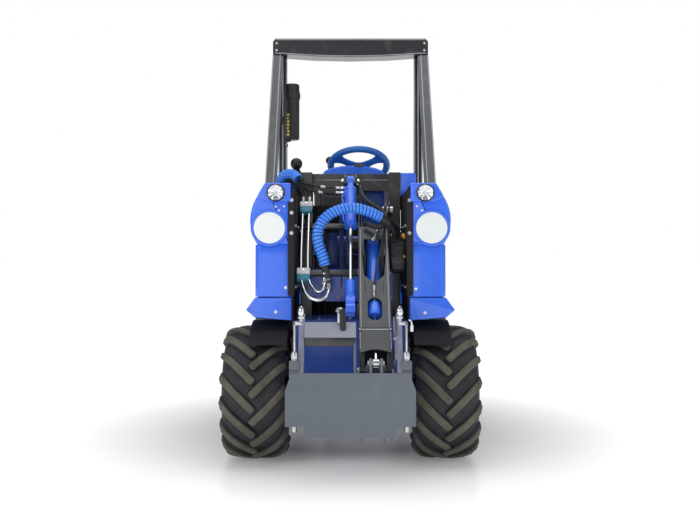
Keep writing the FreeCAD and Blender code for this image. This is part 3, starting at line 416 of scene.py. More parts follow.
def spaced(path, count):
    """The same open path with evenly spaced points."""
    path = np.asarray(path, float)
    steps = np.linalg.norm(np.diff(path, axis=0), axis=1)
    reach = np.concatenate([[0], np.cumsum(steps)])
    at = np.linspace(0, reach[-1], count)
    return np.stack([np.interp(at, reach, path[:, i]) for i in range(path.shape[1])], axis=1)


def carried_frames(path):
    """Side and up vectors along a path, turned as little as possible on the way."""
    tangent = np.gradient(path, axis=0)
    tangent /= np.linalg.norm(tangent, axis=1)[:, None]
    side = across(tangent[0])[0]
    sides = []
    for direction in tangent:
        side = side - direction * side.dot(direction)
        side = side / np.linalg.norm(side)
        sides.append(side)
    sides = np.array(sides)
    return sides, np.cross(tangent, sides)


def swept(path, radius, sides=16):
    """A round section carried along a path; radius is one number, one for each point, or one
    for each point and side."""
    path = np.asarray(path, float)
    side, up = carried_frames(path)
    turn = np.linspace(0, math.tau, sides, endpoint=False)
    radius = np.asarray(radius, float)
    if radius.ndim < 2:
        radius = np.broadcast_to(radius, (len(path),))[:, None]
    ring = np.cos(turn)[None, :, None] * side[:, None] + np.sin(turn)[None, :, None] * up[:, None]
    return capped(path[:, None] + radius[..., None] * ring)


def smooth_path(corners, step_mm=4):
    """A route's corners cut round, with points a few millimetres apart."""
    path = softened(corners, 4, closed=False)
    length = np.linalg.norm(np.diff(path, axis=0), axis=1).sum()
    return spaced(path, max(4, int(length / (step_mm * MM))))


def spiral_guard(path, radius, pitch, sides=28):
    """A flat band wound round a hose: the radius falls in a narrow groove where the phase,
    length over pitch less the turn, is half way between whole numbers."""
    path = spaced(path, int(np.linalg.norm(np.diff(path, axis=0), axis=1).sum() / pitch * 10))
    reach = np.concatenate([[0], np.cumsum(np.linalg.norm(np.diff(path, axis=0), axis=1))])
    phase = (reach[:, None] / pitch - np.arange(sides)[None] / sides) % 1
    groove = np.exp(-((phase - 0.5) / 0.12) ** 4)
    return swept(path, radius * (1 - 0.24 * groove), sides)


def rounded(outline, radius, steps=4):
    """A closed outline whose corners are turned by small arcs."""
    outline = np.asarray(outline, float)
    spots = []
    for i, corner in enumerate(outline):
        before, after = outline[i - 1] - corner, outline[(i + 1) % len(outline)] - corner
        near = min(np.linalg.norm(before), np.linalg.norm(after)) * 0.45
        before, after = before / np.linalg.norm(before), after / np.linalg.norm(after)
        bend = math.acos(np.clip(-before.dot(after), -1, 1))
        if bend < 0.15:
            spots.append(corner)
            continue
        reach = min(radius * math.tan(bend / 2), near)
        for t in np.linspace(0, 1, steps):
            spots.append(corner + before * reach * (1 - t) ** 2 + after * reach * t ** 2)
    return np.array(spots)


def slab(outline, start, end, corner=8, edge=4, plane="XZ", steps=4):
    """A flat plate with an outline in mm, its corners and its edges rounded: start, end,
    corner and edge are in mm too."""
    outline = rounded(np.asarray(outline, float) * MM, corner * MM)
    return moulding(outline, round_edge(edge * MM, start * MM, end * MM, steps), plane)


def pierced(outline, holes, low, high):
    """A flat plate in the plane of the first two axes, in mm, with holes cut through it."""
    loops = [np.asarray(loop, float) for loop in (outline, *holes)]
    flat = [[Vector((x, y, 0)) for x, y in loop] for loop in loops]
    spots = np.concatenate(loops)
    count = len(spots)
    points = np.concatenate([np.column_stack([spots, np.full(count, float(z))])
                             for z in (low, high)]) * MM
    faces = [list(face) for face in tessellate_polygon(flat)]
    faces += [[i + count for i in face] for face in faces]
    start = 0
    for loop in loops:
        size = len(loop)
        faces += [[start + i, start + (i + 1) % size, start + (i + 1) % size + count,
                   start + i + count] for i in range(size)]
        start += size
    return points, faces


def upright_plate(outline, x, thickness, holes=()):
    """A pierced plate that stands across x, from an outline in mm: (y, z), or (along, up) in
    a boom's axes."""
    shape, faces = pierced(outline, holes, x, x + thickness)
    return shape[:, [2, 0, 1]], faces


def arc(centre, radius, start, end, steps=8):
    """Points of an arc in mm, its angles in degrees."""
    turn = np.radians(np.linspace(start, end, steps))
    return [(centre[0] + radius * math.cos(t), centre[1] + radius * math.sin(t)) for t in turn]


def domes(places_mm, axis, radius_mm):
    """Low domed screw heads, one at each place, standing out along the axis."""
    r = radius_mm * MM
    head = turned([(-0.001, r), (0.15 * r, r), (0.42 * r, 0.8 * r), (0.58 * r, 0.45 * r),
                   (0.6 * r, 0.02 * r)], (0, 0, 0), axis, 12)
    return placed(head, places_mm)


def placed(shape, places_mm):
    """The same shape at several places."""
    points, faces = shape
    places = np.asarray(places_mm, float) * MM
    spots = (places[:, None] + points[None]).reshape(-1, 3)
    return spots, [[i + len(points) * k for i in face] for k in range(len(places))
                   for face in faces]


def rounded_block(low, high, radius, cells=6):
    """A box with rounded edges: points of a cube's faces, pulled in to the inner box and pushed
    out again by the radius along the way they came."""
    low, high = np.asarray(low, float), np.asarray(high, float)
    radius = min(radius, *(high - low) / 2.001)
    ends = np.linspace(0, 1, cells)
    shapes = []
    for axis in range(3):
        for end in (0, 1):
            u, v = (axis + 1) % 3, (axis + 2) % 3
            spots = np.zeros((2 * cells, 2 * cells, 3))
            for way, run in ((u, 0), (v, 1)):
                span = high[way] - low[way]
                near = low[way] + radius * (1 - np.cos(ends * math.pi / 2))
                line = np.concatenate([near, high[way] + low[way] - near[::-1]])
                line = np.clip(line, low[way], low[way] + span)
                spots[..., way] = line[:, None] if run == 0 else line[None, :]
            spots[..., axis] = high[axis] if end else low[axis]
            inner = np.clip(spots, low + radius, high - radius)
            out = spots - inner
            length = np.linalg.norm(out, axis=-1, keepdims=True)
            spots = inner + out / np.maximum(length, 1e-9) * radius
            points, faces = grid(spots)
            shapes.append((points, faces if end else [face[::-1] for face in faces]))
    return joined(*shapes)


def moulding(outline, profile, plane="XZ"):
    """A closed outline carried through a profile of (inset, depth) pairs: each ring is the
    outline moved in along its normals by the inset, and back by the depth."""
    outline = np.asarray(outline, float)
    step = np.roll(outline, -1, axis=0) - np.roll(outline, 1, axis=0)
    inward = np.stack([-step[:, 1], step[:, 0]], axis=1)
    inward /= np.linalg.norm(inward, axis=1)[:, None]
    area = np.sum(outline[:, 0] * np.roll(outline[:, 1], -1)
                  - outline[:, 1] * np.roll(outline[:, 0], -1))
    inward *= np.sign(area)
    profile = np.asarray(profile, float)
    flat = outline[None] + inward[None] * profile[:, 0, None, None]
    depth = np.broadcast_to(profile[:, 1, None], flat.shape[:2])
    order = {"XZ": (flat[..., 0], depth, flat[..., 1]),
             "YZ": (depth, flat[..., 0], flat[..., 1]),
             "XY": (flat[..., 0], flat[..., 1], depth)}[plane]
    return capped(np.stack(order, axis=-1))


def round_edge(radius, start, end, steps=5):
    """The (inset, depth) profile of a slab from start to end with rounded edges."""
    turn = np.linspace(0, math.pi / 2, steps)
    inset = radius * (1 - np.sin(turn))
    sign = 1 if end > start else -1
    front = start + sign * radius * (1 - np.cos(turn))
    back = end - sign * radius * (1 - np.cos(turn[::-1]))
    return np.concatenate([np.stack([inset, front], 1), np.stack([inset[::-1], back], 1)])


WASHER = 0.0016


def bolts(places_mm, axis, across_flats):
    """Hex heads on washers, one at each place, standing out along the axis."""
    size = across_flats / math.sqrt(3)
    top = WASHER + across_flats * 0.62
    washer = turned([(0, size * 1.35), (WASHER, size * 1.35)], (0, 0, 0), axis, 16)
    head = turned([(WASHER, size), (WASHER + 0.85 * (top - WASHER), size),
                   (top, size * 0.86)], (0, 0, 0), axis, 6)
    return placed(joined(washer, head), places_mm)


BOOM_AXES = ("boom_lift", "telescope")
LIFT_AXES = ("lift_swing", "lift_extend")
TILT_AXES = ("tilt_swing", "tilt_extend")
MAIN_PIN = tuple(np.array(JOINTS["coupler_tilt"]["pos_m"][1:]) / MM)


def in_axes(route, names):
    """Points (across, along, up) in mm of an arm's or a cylinder's own axes, which start at
    its pivot, as points of the frame."""
    route = np.asarray(route, float) * MM
    pivot = np.array((0, *JOINTS[names[0]]["pos_m"][1:]))
    along = np.array(JOINTS[names[1]]["axis"], float)
    up = np.cross(along, (1, 0, 0))
    return (pivot + route[..., :1] * np.array((1, 0, 0)) + route[..., 1:2] * along
            + route[..., 2:3] * up)


TILT_TIP = tuple(in_axes([(0, 884, 55)], BOOM_AXES)[0][1:] / MM)


def on_axes(names, *shapes):
    """Shapes built as (across, along, up) from a pivot, set in the frame."""
    points, faces = joined(*shapes)
    return in_axes(np.asarray(points) / MM, names), [list(face)[::-1] for face in faces]


def fitting(start, end, profile, sides=24):
    """A turned part from start to end in mm: each row of its profile is a share of its length
    and a radius in mm."""
    start, end = np.asarray(start, float), np.asarray(end, float)
    long = np.linalg.norm(end - start)
    rows = [(share * long * MM, radius * MM) for share, radius in profile]
    return turned(rows, start * MM, end - start, sides)


HEX = [(0, 0.88), (0.1, 1), (0.9, 1), (1, 0.88)]


def nut(start, end, across_flats):
    """A hexagon with its corners turned off, from start to end in mm."""
    size = across_flats / math.sqrt(3)
    return fitting(start, end, [(share, size * part) for share, part in HEX], 6)


def hose_end(start, end, radius):
    """A hose's crimped ferrule with three grooves, its waist and its swivel nut."""
    start, end = np.asarray(start, float), np.asarray(end, float)
    at = [start + (end - start) * share for share in (0, 0.55, 0.62, 0.96)]
    rows = [(0, radius)]
    for share in (0.04, 0.28, 0.52, 0.76):
        rows += [(share, 1.22 * radius), (share + 0.16, 1.22 * radius),
                 (share + 0.2, 1.12 * radius)]
    rows.append((1, 0.9 * radius))
    return joined(fitting(at[0], at[1], rows), fitting(at[1], end, [(0, 0.8 * radius),
                                                                    (1, 0.8 * radius)]),
                  nut(at[2], at[3], 2.5 * radius))


def hose_line(route, radius, sides=16):
    """A plain round hose or pipe along a route in mm."""
    return swept(smooth_path(np.asarray(route, float) * MM), radius * MM, sides)


def box(low, high, corner=2.0, cells=3):
    """A block between two corners in mm, with rounded edges."""
    return rounded_block(np.array(low) * MM, np.array(high) * MM, corner * MM, cells)


def sleeve(rows, corner=0.35, sides=40):
    """A soft rectangular tube: each row gives along, then across and up as low and high, in
    mm; its corners follow a squared circle."""
    turn = np.linspace(0, math.tau, sides, endpoint=False)
    cosine, sine = np.cos(turn), np.sin(turn)
    wide = np.sign(cosine) * np.abs(cosine) ** corner
    high = np.sign(sine) * np.abs(sine) ** corner
    rings = []
    for along, low_x, high_x, low_z, high_z in rows:
        rings.append(np.stack([(low_x + high_x) / 2 + wide * (high_x - low_x) / 2,
                               np.full(sides, float(along)),
                               (low_z + high_z) / 2 + high * (high_z - low_z) / 2], axis=1))
    return capped(np.array(rings) * MM)


# ---------------------------------------------------------------- piece helpers

def mesh_from(name, shape):
    """A mesh from a shape's points and faces."""
    points, faces = shape
    mesh = bpy.data.meshes.new(name)
    mesh.from_pydata(np.asarray(points).tolist(), [], faces)
    return mesh


def shown(name, data):
    """A new object that carries the data, linked to the scene."""
    made = bpy.data.objects.new(name, data)
    bpy.context.scene.collection.objects.link(made)
    return made


def coated(mesh, material, sharp):
    """Shade a mesh smooth up to a sharp angle in degrees and give it its one material."""
    mesh.shade_smooth()
    mesh.set_sharp_from_angle(angle=math.radians(sharp))
    mesh.materials.append(material)


def piece(name, shape, material, body="front_frame", sharp=40, replaces=(),
          bevel=None):
    """Make a shape a piece of the loader that rides on a body, with its one material."""
    mesh = mesh_from(name, shape)
    mesh.validate()
    made = shown(name, mesh)
    tidy_normals(mesh)
    coated(mesh, material, sharp)
    finish_piece(made, body, replaces, bevel)
    return made


def tidy_normals(mesh, merge=0.00002):
    """Merge doubled points and turn every face outwards."""
    work = bmesh.new()
    work.from_mesh(mesh)
    bmesh.ops.remove_doubles(work, verts=work.verts, dist=merge)
    bmesh.ops.recalc_face_normals(work, faces=work.faces)
    work.to_mesh(mesh)
    work.free()


def finish_piece(made, body, replaces=(), bevel=None, subdivide=0):
    """Give a piece its modifiers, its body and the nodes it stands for."""
    if bevel:
        edge = made.modifiers.new("Bevel", "BEVEL")
        edge.width = bevel
        edge.segments = 2
        edge.limit_method = "ANGLE"
        edge.angle_limit = math.radians(32)
        edge.use_clamp_overlap = False
        edge.harden_normals = False
    if subdivide:
        level = made.modifiers.new("Subdivision", "SUBSURF")
        level.levels = subdivide
        level.render_levels = subdivide
    if isinstance(body, str):
        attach(made, body)
    if replaces:
        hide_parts(*replaces)


EASED_EDGE = 0.0012


def eased(node, material):
    """A copy of a CAD node with its triangles merged to flat faces and its edges eased."""
    mesh = frame["nodes"][node].data.copy()
    work = bmesh.new()
    work.from_mesh(mesh)
    bmesh.ops.remove_doubles(work, verts=work.verts, dist=0.00002)
    bmesh.ops.dissolve_limit(work, angle_limit=math.radians(1.0), verts=work.verts,
                             edges=work.edges)
    work.to_mesh(mesh)
    work.free()
    mesh.name = node + "_eased"
    mesh.materials.clear()
    made = shown(mesh.name, mesh)
    coated(mesh, material, 40)
    finish_piece(made, BODY_OF[node], (node,), bevel=EASED_EDGE)


# ---------------------------------------------------------------- wheels

TYRE_LOW, TYRE_HIGH = np.array(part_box("tyre_front_right"))
TYRE_RADIUS = (TYRE_HIGH[2] - TYRE_LOW[2]) / 2
TYRE_HALF = (TYRE_HIGH[0] - TYRE_LOW[0]) / 2
LUG_HIGH = 0.0195
LUG_SWING = 0.455
HALF_TREAD = 0.128
LUGS = 15
PITCH = math.tau / LUGS
TYRE_SIDES = 144
WHEEL_NUTS, NUT_CIRCLE = 5, 0.056


def tyre_section():
    """The carcass from the crown's middle over the shoulder and the wall to the bead, as
    (across, radius) points, evenly spaced, with its outward normals, and the same points
    raised by the wall's three ribs."""
    r, w = TYRE_RADIUS, TYRE_HALF
    corners = [(0, r - 0.0195), (0.045, r - 0.0202), (0.085, r - 0.0235), (0.112, r - 0.033),
               (0.1235, r - 0.050), (w - 0.0035, r - 0.072), (w - 0.003, r - 0.098),
               (w - 0.007, r - 0.117), (w - 0.016, r - 0.129), (w - 0.019, r - 0.133)]
    line = spaced(softened(corners, 3, closed=False), 64)
    step = np.gradient(line, axis=0)
    normal = np.stack([-step[:, 1], step[:, 0]], axis=1)
    normal /= np.linalg.norm(normal, axis=1)[:, None]
    rib = np.zeros(len(line))
    for radius in (r - 0.064, r - 0.090, r - 0.114):
        rib += 0.0016 * np.exp(-((line[:, 1] - radius) / 0.0018) ** 2)
    return line, normal, line + normal * rib[:, None]


TYRE_LINE, TYRE_NORMAL, TYRE_RIBBED = tyre_section()


def on_tread(reach, around, height, centre, side):
    """A point of the tread: reach metres over the section from its middle, turned around the
    axle by an angle measured from the front upwards, and raised by a height."""
    steps = np.linalg.norm(np.diff(TYRE_LINE, axis=0), axis=1)
    length = np.concatenate([[0], np.cumsum(steps)])
    over = np.abs(reach)
    spot = [np.interp(over, length, TYRE_LINE[:, i]) for i in (0, 1)]
    out = [np.interp(over, length, TYRE_NORMAL[:, i]) for i in (0, 1)]
    sign = np.where(reach < 0, -1.0, 1.0) * side
    x = centre[0] + sign * (spot[0] + out[0] * height)
    radius = spot[1] + out[1] * height
    return np.stack([x, centre[1] - radius * np.cos(around),
                     centre[2] + radius * np.sin(around)], axis=-1)


def lug(centre, side, phase):
    """One lug: a flat-topped bar whose section is carried from its blunt head at the tread's
    middle out and up over the shoulder, where it runs down to the wall."""
    along = np.array([-0.02, 0.0, 0.012, 0.05, 0.14, 0.28, 0.44, 0.6, 0.74, 0.86, 0.95, 1.0])
    high = np.array([-0.1, 0.82, 0.97, 1, 1, 1, 1, 1, 0.97, 0.8, 0.42, -0.1]) * LUG_HIGH
    narrow = np.array([0.55, 0.62, 0.86, 1, 1, 0.97, 0.92, 0.86, 0.82, 0.8, 0.78, 0.6])
    reach = -0.006 + 0.162 * along
    swing = LUG_SWING * np.clip(reach / HALF_TREAD, -0.2, 1.5)
    swing = swing * (1 + 0.1 * np.clip(reach / HALF_TREAD, 0, 1) ** 2)
    over = np.array([-1.0, -0.82, -0.66, -0.5, -0.2, 0.2, 0.5, 0.66, 0.82, 1.0])
    rise = np.array([-0.12, 0.45, 0.93, 1, 1, 1, 1, 0.93, 0.45, -0.12])
    half = 0.0215 * narrow
    lean = np.array((0.70, -0.71))
    cross = over[None] * half[:, None]
    reach_grid = reach[:, None] + cross * lean[0]
    around = phase + swing[:, None] + cross * lean[1] / (TYRE_RADIUS - 0.01)
    height = np.minimum(high[:, None], rise[None] * high[:, None].clip(0.001))
    height = np.where(high[:, None] < 0, high[:, None], height)
    points = on_tread(np.maximum(reach_grid, -0.02), around, height, centre, side)
    top = np.clip((height / LUG_HIGH - 0.62) / 0.3, 0, 1)
    return grid(points), top.reshape(-1)


def make_tyre(end, side_name, phase):
    """The carcass turned about the axle, with a row of lugs each side, half a pitch apart."""
    node = f"tyre_{end}_{side_name}"
    centre = np.array(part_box(node)).sum(axis=0) / 2
    half = np.concatenate([TYRE_RIBBED[::-1] * (-1, 1), TYRE_RIBBED[1:]])
    inner = half[[-1, 0]] - (0, 0.012)
    ring = np.concatenate([half, inner])
    turn = np.linspace(0, math.tau, TYRE_SIDES, endpoint=False)
    points = np.stack([
        np.broadcast_to(centre[0] + ring[:, 0], (TYRE_SIDES, len(ring))),
        centre[1] - np.cos(turn)[:, None] * ring[:, 1],
        centre[2] + np.sin(turn)[:, None] * ring[:, 1]], axis=-1)
    shapes = [grid(points, around=True, along=True)]
    tops = [np.zeros(points.shape[0] * points.shape[1])]
    for hand in (-1, 1):
        for count in range(LUGS):
            shape, top = lug(centre, hand, phase[hand] + count * PITCH)
            shapes.append(shape)
            tops.append(top)
    mesh = mesh_from(node + "_lugged", joined(*shapes))
    worn = mesh.attributes.new("lug_top", "FLOAT", "POINT")
    worn.data.foreach_set("value", np.concatenate(tops).astype(np.float32))
    made = shown(mesh.name, mesh)
    tidy_normals(mesh)
    coated(mesh, TYRE, 50)
    finish_piece(made, BODY_OF[node], (node,))


def make_rim(end, side_name, side):
    """Pressed steel wheel: flanges, a deep well, a dished disc, five nuts."""
    node = f"rim_{end}_{side_name}"
    low, high = np.array(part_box(node))
    centre = np.array(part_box(f"tyre_{end}_{side_name}")).sum(axis=0) / 2
    radius = (high[2] - low[2]) / 2
    axis = (side, 0, 0)
    disc = -0.012
    section = [(0.1265, radius), (0.1275, radius - 0.004), (0.123, radius - 0.009),
               (0.108, radius - 0.012), (0.094, radius - 0.018), (0.02, radius - 0.024),
               (0.004, radius - 0.030), (disc + 0.010, radius - 0.045), (disc + 0.009, 0.092),
               (disc, 0.078), (disc, 0.035), (disc - 0.007, 0.035), (disc - 0.007, 0.076),
               (disc + 0.003, 0.090), (disc + 0.003, radius - 0.047), (-0.006, radius - 0.034),
               (-0.022, radius - 0.026), (-0.10, radius - 0.018), (-0.1225, radius - 0.009),
               (-0.1275, radius - 0.005), (-0.1265, radius)]
    shape = turned(softened(section, 2), centre, axis, 72, ring_shaped=True)
    piece(node + "_pressed", shape, RIM_SILVER, BODY_OF[node], 30, (node,))
    turn = np.arange(WHEEL_NUTS) / WHEEL_NUTS * math.tau + 0.3
    places = centre + np.stack([np.full(WHEEL_NUTS, side * disc), NUT_CIRCLE * np.cos(turn),
                                NUT_CIRCLE * np.sin(turn)], axis=1)
    nuts = bolts(places / MM, axis, 0.019)
    cap = turned([(disc - 0.006, 0.033), (disc + 0.022, 0.033), (disc + 0.028, 0.028),
                  (disc + 0.029, 0.0005)], centre, axis, 32)
    piece(f"wheel_nuts_{end}_{side_name}", nuts, ZINC, BODY_OF[node], 30)
    piece(f"hub_cap_{end}_{side_name}", cap, BLACK_COAT, BODY_OF[node], 30)


def degrees(*angles):
    """Angles in degrees as radians."""
    return [math.radians(angle) for angle in angles]


LEFT_PHASE = dict(zip((-1, 1), degrees(-8.7, 3.9)))
RIGHT_PHASE = dict(zip((-1, 1), degrees(-1.1, -12.9)))
for end_name in ("front", "rear"):
    make_tyre(end_name, "left", LEFT_PHASE)
    make_tyre(end_name, "right", RIGHT_PHASE)
    make_rim(end_name, "left", -1)
    make_rim(end_name, "right", 1)


# ---------------------------------------------------------------- pods and lamps

def both_sides(shape):
    """A shape with its mirror image."""
    return joined(shape, mirrored(shape))


POD_FACE, POD_BACK = -840, -322
LAMP_FACE = -853
POD_TOP = 1177


def pod():
    """The right pod: round-sided panel, lamp block that stands out over it, lower panel with a
    chamfer down its outer edge, and the ledge that flares out over the tyre."""
    turn = np.radians(np.linspace(-33, 33, 23))
    side = np.stack([232 + 189 * np.cos(turn), 1020 + 189 * np.sin(turn)], axis=1).tolist()
    panel = slab([(250, 918), *side, (358, POD_TOP), (250, POD_TOP)], POD_FACE, POD_BACK, 8, 11,
                 steps=7)
    block = slab([(250, 1097), (338, 1096), (370, 1105), (390, 1123), (358, POD_TOP),
                  (250, POD_TOP)], LAMP_FACE, -326, 11, 8, steps=6)
    plan = rounded(np.array([(245, POD_FACE), (383, POD_FACE), (400, -823), (400, POD_BACK),
                             (245, POD_BACK)]) * MM, 0.004)
    heights = np.array([0.7005, 0.702, 0.74, 0.80, 0.86, 0.915, 0.9185])
    tuck = np.array([0.002, 0, 0, 0, 0, 0, 0.002])
    lean = (0.918 - heights) * 0.045 - 0.008
    rows = []
    for height, inset, forward in zip(heights, tuck, lean):
        front = np.clip((-0.70 - plan[:, 1]) / 0.12, 0, 1)
        rows.append(np.stack([plan[:, 0], plan[:, 1] + inset - forward * front,
                              np.full(len(plan), height)], axis=1))
    lower = capped(np.array(rows))
    ledge = slab([(247, 601), (400, 613), (438, 645), (401, 696), (247, 697)], -843, -334, 4,
                 4, steps=5)
    return joined(panel, block, lower, ledge)


BOWL_RADIUS = 0.0318


def lamp():
    """The right head lamp: bezel, and a faceted bowl round a bulb behind fluted glass."""
    centre = np.array((0.312, LAMP_FACE * MM, 1.135))
    forward = (0, -1, 0)
    bezel = turned([(-0.004, 0.0372), (0.010, 0.0372), (0.014, 0.0362), (0.0155, 0.0345),
                    (0.0145, 0.0325), (0.011, BOWL_RADIUS), (0.004, BOWL_RADIUS),
                    (-0.004, 0.0322)],
                   centre, forward, 48, ring_shaped=True)
    reach = np.linspace(0.0005, BOWL_RADIUS, 14)[:, None]
    turn = np.linspace(0, math.tau, 96, endpoint=False)

    def dish(depth):
        """A round sheet whose points stand in front of the centre by a depth."""
        return grid(np.stack([centre[0] + reach * np.cos(turn), centre[1] - depth,
                              centre[2] + reach * np.sin(turn)], axis=-1), around=True)

    flutes = 0.0022 * np.abs(np.sin(turn * 6))[None] * (reach / BOWL_RADIUS)
    bowl = dish(0.0005 + 0.0105 * (reach / BOWL_RADIUS) ** 1.6 + flutes)
    bulb = turned([(0.0, 0.006), (0.006, 0.006), (0.0085, 0.0045), (0.0095, 0.0005)], centre,
                  forward, 20)
    ribs = 0.0005 * np.cos(reach * np.cos(turn) / 0.0036 * math.pi)
    lens = dish(0.0118 + 0.0032 * (1 - (reach / BOWL_RADIUS) ** 2) + ribs)
    return bezel, bowl, bulb, lens


RIGHT_POD = pod()
piece("pod_right_shell", RIGHT_POD, BLUE_COAT, replaces=("pod_right",))
piece("pod_left_shell", mirrored(RIGHT_POD), BLUE_COAT, replaces=("pod_left",))
BEZEL, BOWL, BULB, LENS = lamp()
piece("lamp_bezels", both_sides(BEZEL), BLACK_PLASTIC, sharp=35)
piece("lamp_bowls", both_sides(BOWL), REFLECTOR, sharp=25, replaces=("headlamps",))
piece("lamp_bulbs", both_sides(BULB), WHITE_CLAMP, sharp=30)
piece("lamp_lenses", both_sides(LENS), GLASS, sharp=60)
DISC_CENTRE = np.array((0.340, POD_FACE * MM, 0.989))
disc = turned([(-0.001, 0.0655), (0.0026, 0.0655), (0.0032, 0.0645), (0.0033, 0.03),
               (0.0034, 0.0005)], DISC_CENTRE, (0, -1, 0), 96)
piece("round_sheets", both_sides(disc), SHEETING, sharp=25, replaces=("round_panels",))
boss = turned([(-0.004, 0.0790), (0.0008, 0.0782), (0.0030, 0.0765), (0.0036, 0.0735),
               (0.0036, 0.0690), (0.0024, 0.0668), (-0.004, 0.0665)], DISC_CENTRE, (0, -1, 0),
              96, ring_shaped=True)
piece("disc_bosses", both_sides(boss), BLUE_COAT)
LINER_FACE, LINER_SIDE = -845, 236
liner = joined(slab([(LINER_SIDE, 704), (262, 704), (262, 1092), (252, 1150),
                     (LINER_SIDE, 1150)], LINER_FACE, -841.5, 4, 0.8),
               slab([(-844, 704), (-335, 704), (-335, 1150), (-844, 1150)], LINER_SIDE, 239, 4,
                    0.8, plane="YZ"),
               slab([(-838, 596), (-350, 604), (-350, 706), (-838, 706)], 240, 246, 4, 1,
                    plane="YZ"))
piece("pod_liners", both_sides(liner), LINER)
piece("liner_bolts", joined(
    bolts([(-246, LINER_FACE, 1105), (-246, LINER_FACE, 1052), (-247, LINER_FACE, 967),
           (247, LINER_FACE, 1105), (247, LINER_FACE, 967)], (0, -1, 0), 0.010),
    *[bolts([(side * LINER_SIDE, y, z) for y in (-780, -560, -380) for z in (740, 1000)],
            (-side, 0, 0), 0.010) for side in (-1, 1)]), ZINC, sharp=30)
piece("pod_screws", joined(
    domes([(-312, -844, 637), (311, -844, 633), (-271, POD_FACE, 739), (273, POD_FACE, 733)],
          (0, -1, 0), 7),
    domes([(-312, LAMP_FACE, 1077), (-300, POD_FACE, 1062), (-278, POD_FACE, 1080),
           (278, POD_FACE, 1080), (300, POD_FACE, 1062)], (0, -1, 0), 4.5),
    domes([(x, y, POD_TOP) for x in (-275, 275, -340, 340) for y in (-800, -420)], (0, 0, 1),
          6)), WHITE_CLAMP)
bracket = slab([(226, 1150), (303, 1150), (303, 1250), (296, 1258), (226, 1258)], -420, -340, 5,
               3)
piece("pod_bracket_right", bracket, BLUE_COAT)


# ---------------------------------------------------------------- operator's place

def wheel_frame():
    """Centre and axes of the steering wheel: across, away from the operator, and up its
    column."""
    joint = JOINTS["steering_turn"]
    up = np.array(joint["axis"], float)
    side = np.array((1.0, 0, 0))
    return np.array(joint["pos_m"]), side, np.cross(up, side), up


WHEEL_RADIUS, WHEEL_TUBE = 0.1360, 0.0165


def steering_wheel():
    """A soft oval rim, three broad spokes that widen into it and a dished bare hub."""
    centre, side, back, up = wheel_frame()
    turn = np.linspace(0, math.tau, 128, endpoint=False)
    section = np.linspace(0, math.tau, 20, endpoint=False)
    out = WHEEL_RADIUS + WHEEL_TUBE * np.cos(section)
    high = 0.0150 * np.sin(section)
    points = (centre + out[None, :, None] * (np.cos(turn)[:, None, None] * side
                                              + np.sin(turn)[:, None, None] * back)
              + high[None, :, None] * up)
    shapes = [grid(points, around=True, along=True)]
    for angle in np.radians([90, 210, 330]):
        way = np.cos(angle) * side + np.sin(angle) * back
        wide_way = np.cross(up, way)
        rows = []
        for t in np.linspace(0, 1, 13):
            half = 0.020 + 0.012 * (2 * t - 1) ** 2 + 0.012 * max(0, t - 0.7) * 3
            thick = 0.0055 + 0.0035 * t
            ring = []
            for s in np.linspace(0, math.tau, 16, endpoint=False):
                ring.append(centre + way * (0.02 + 0.108 * t)
                            + wide_way * half * np.sign(np.cos(s)) * abs(np.cos(s)) ** 0.6
                            + up * (thick * np.sign(np.sin(s)) * abs(np.sin(s)) ** 0.6
                                    - 0.010 * (1 - t) ** 2))
            rows.append(ring)
        shapes.append(capped(np.array(rows)))
    hub = turned([(-0.026, 0.024), (-0.022, 0.034), (-0.010, 0.037), (-0.002, 0.034),
                  (0.0035, 0.026), (0.0045, 0.018), (0.0028, 0.012), (0.003, 0.0005)], centre,
                 up, 40)
    return joined(*shapes, hub), centre, side, up


WHEEL, WHEEL_CENTRE, WHEEL_SIDE, WHEEL_UP = steering_wheel()
piece("steering_wheel_moulded", WHEEL, WHEEL_BLUE, "steering_wheel", 45, ("steering_wheel",))
SPINNER = WHEEL_CENTRE - WHEEL_SIDE * 0.138
piece("wheel_spinner", turned(
    [(0.004, 0.011), (0.012, 0.010), (0.016, 0.014), (0.021, 0.020), (0.029, 0.0235),
     (0.038, 0.0225), (0.045, 0.016), (0.0485, 0.007), (0.049, 0.0005)], SPINNER, WHEEL_UP, 28),
      BLACK_PLASTIC, "steering_wheel")
piece("joystick_knob", turned(
    [(-0.036, 0.009), (-0.028, 0.013), (-0.020, 0.0215), (-0.010, 0.0275), (0.002, 0.029),
     (0.013, 0.0265), (0.022, 0.019), (0.027, 0.010), (0.0285, 0.0005)],
    (-0.262, -0.2, 1.322), (0.08, 0.12, 1), 32), BLACK_PLASTIC, replaces=("joystick",))
bellows_rows = [(0.003 * i, 0.030 - 0.0012 * i + (0.0035 if i % 2 else -0.0015))
                for i in range(13)]
piece("joystick_bellows", turned(bellows_rows + [(0.045, 0.007), (0.062, 0.007)],
                                 (-0.262, -0.2, 1.260), (0, 0, 1), 28), HOSE, sharp=60)


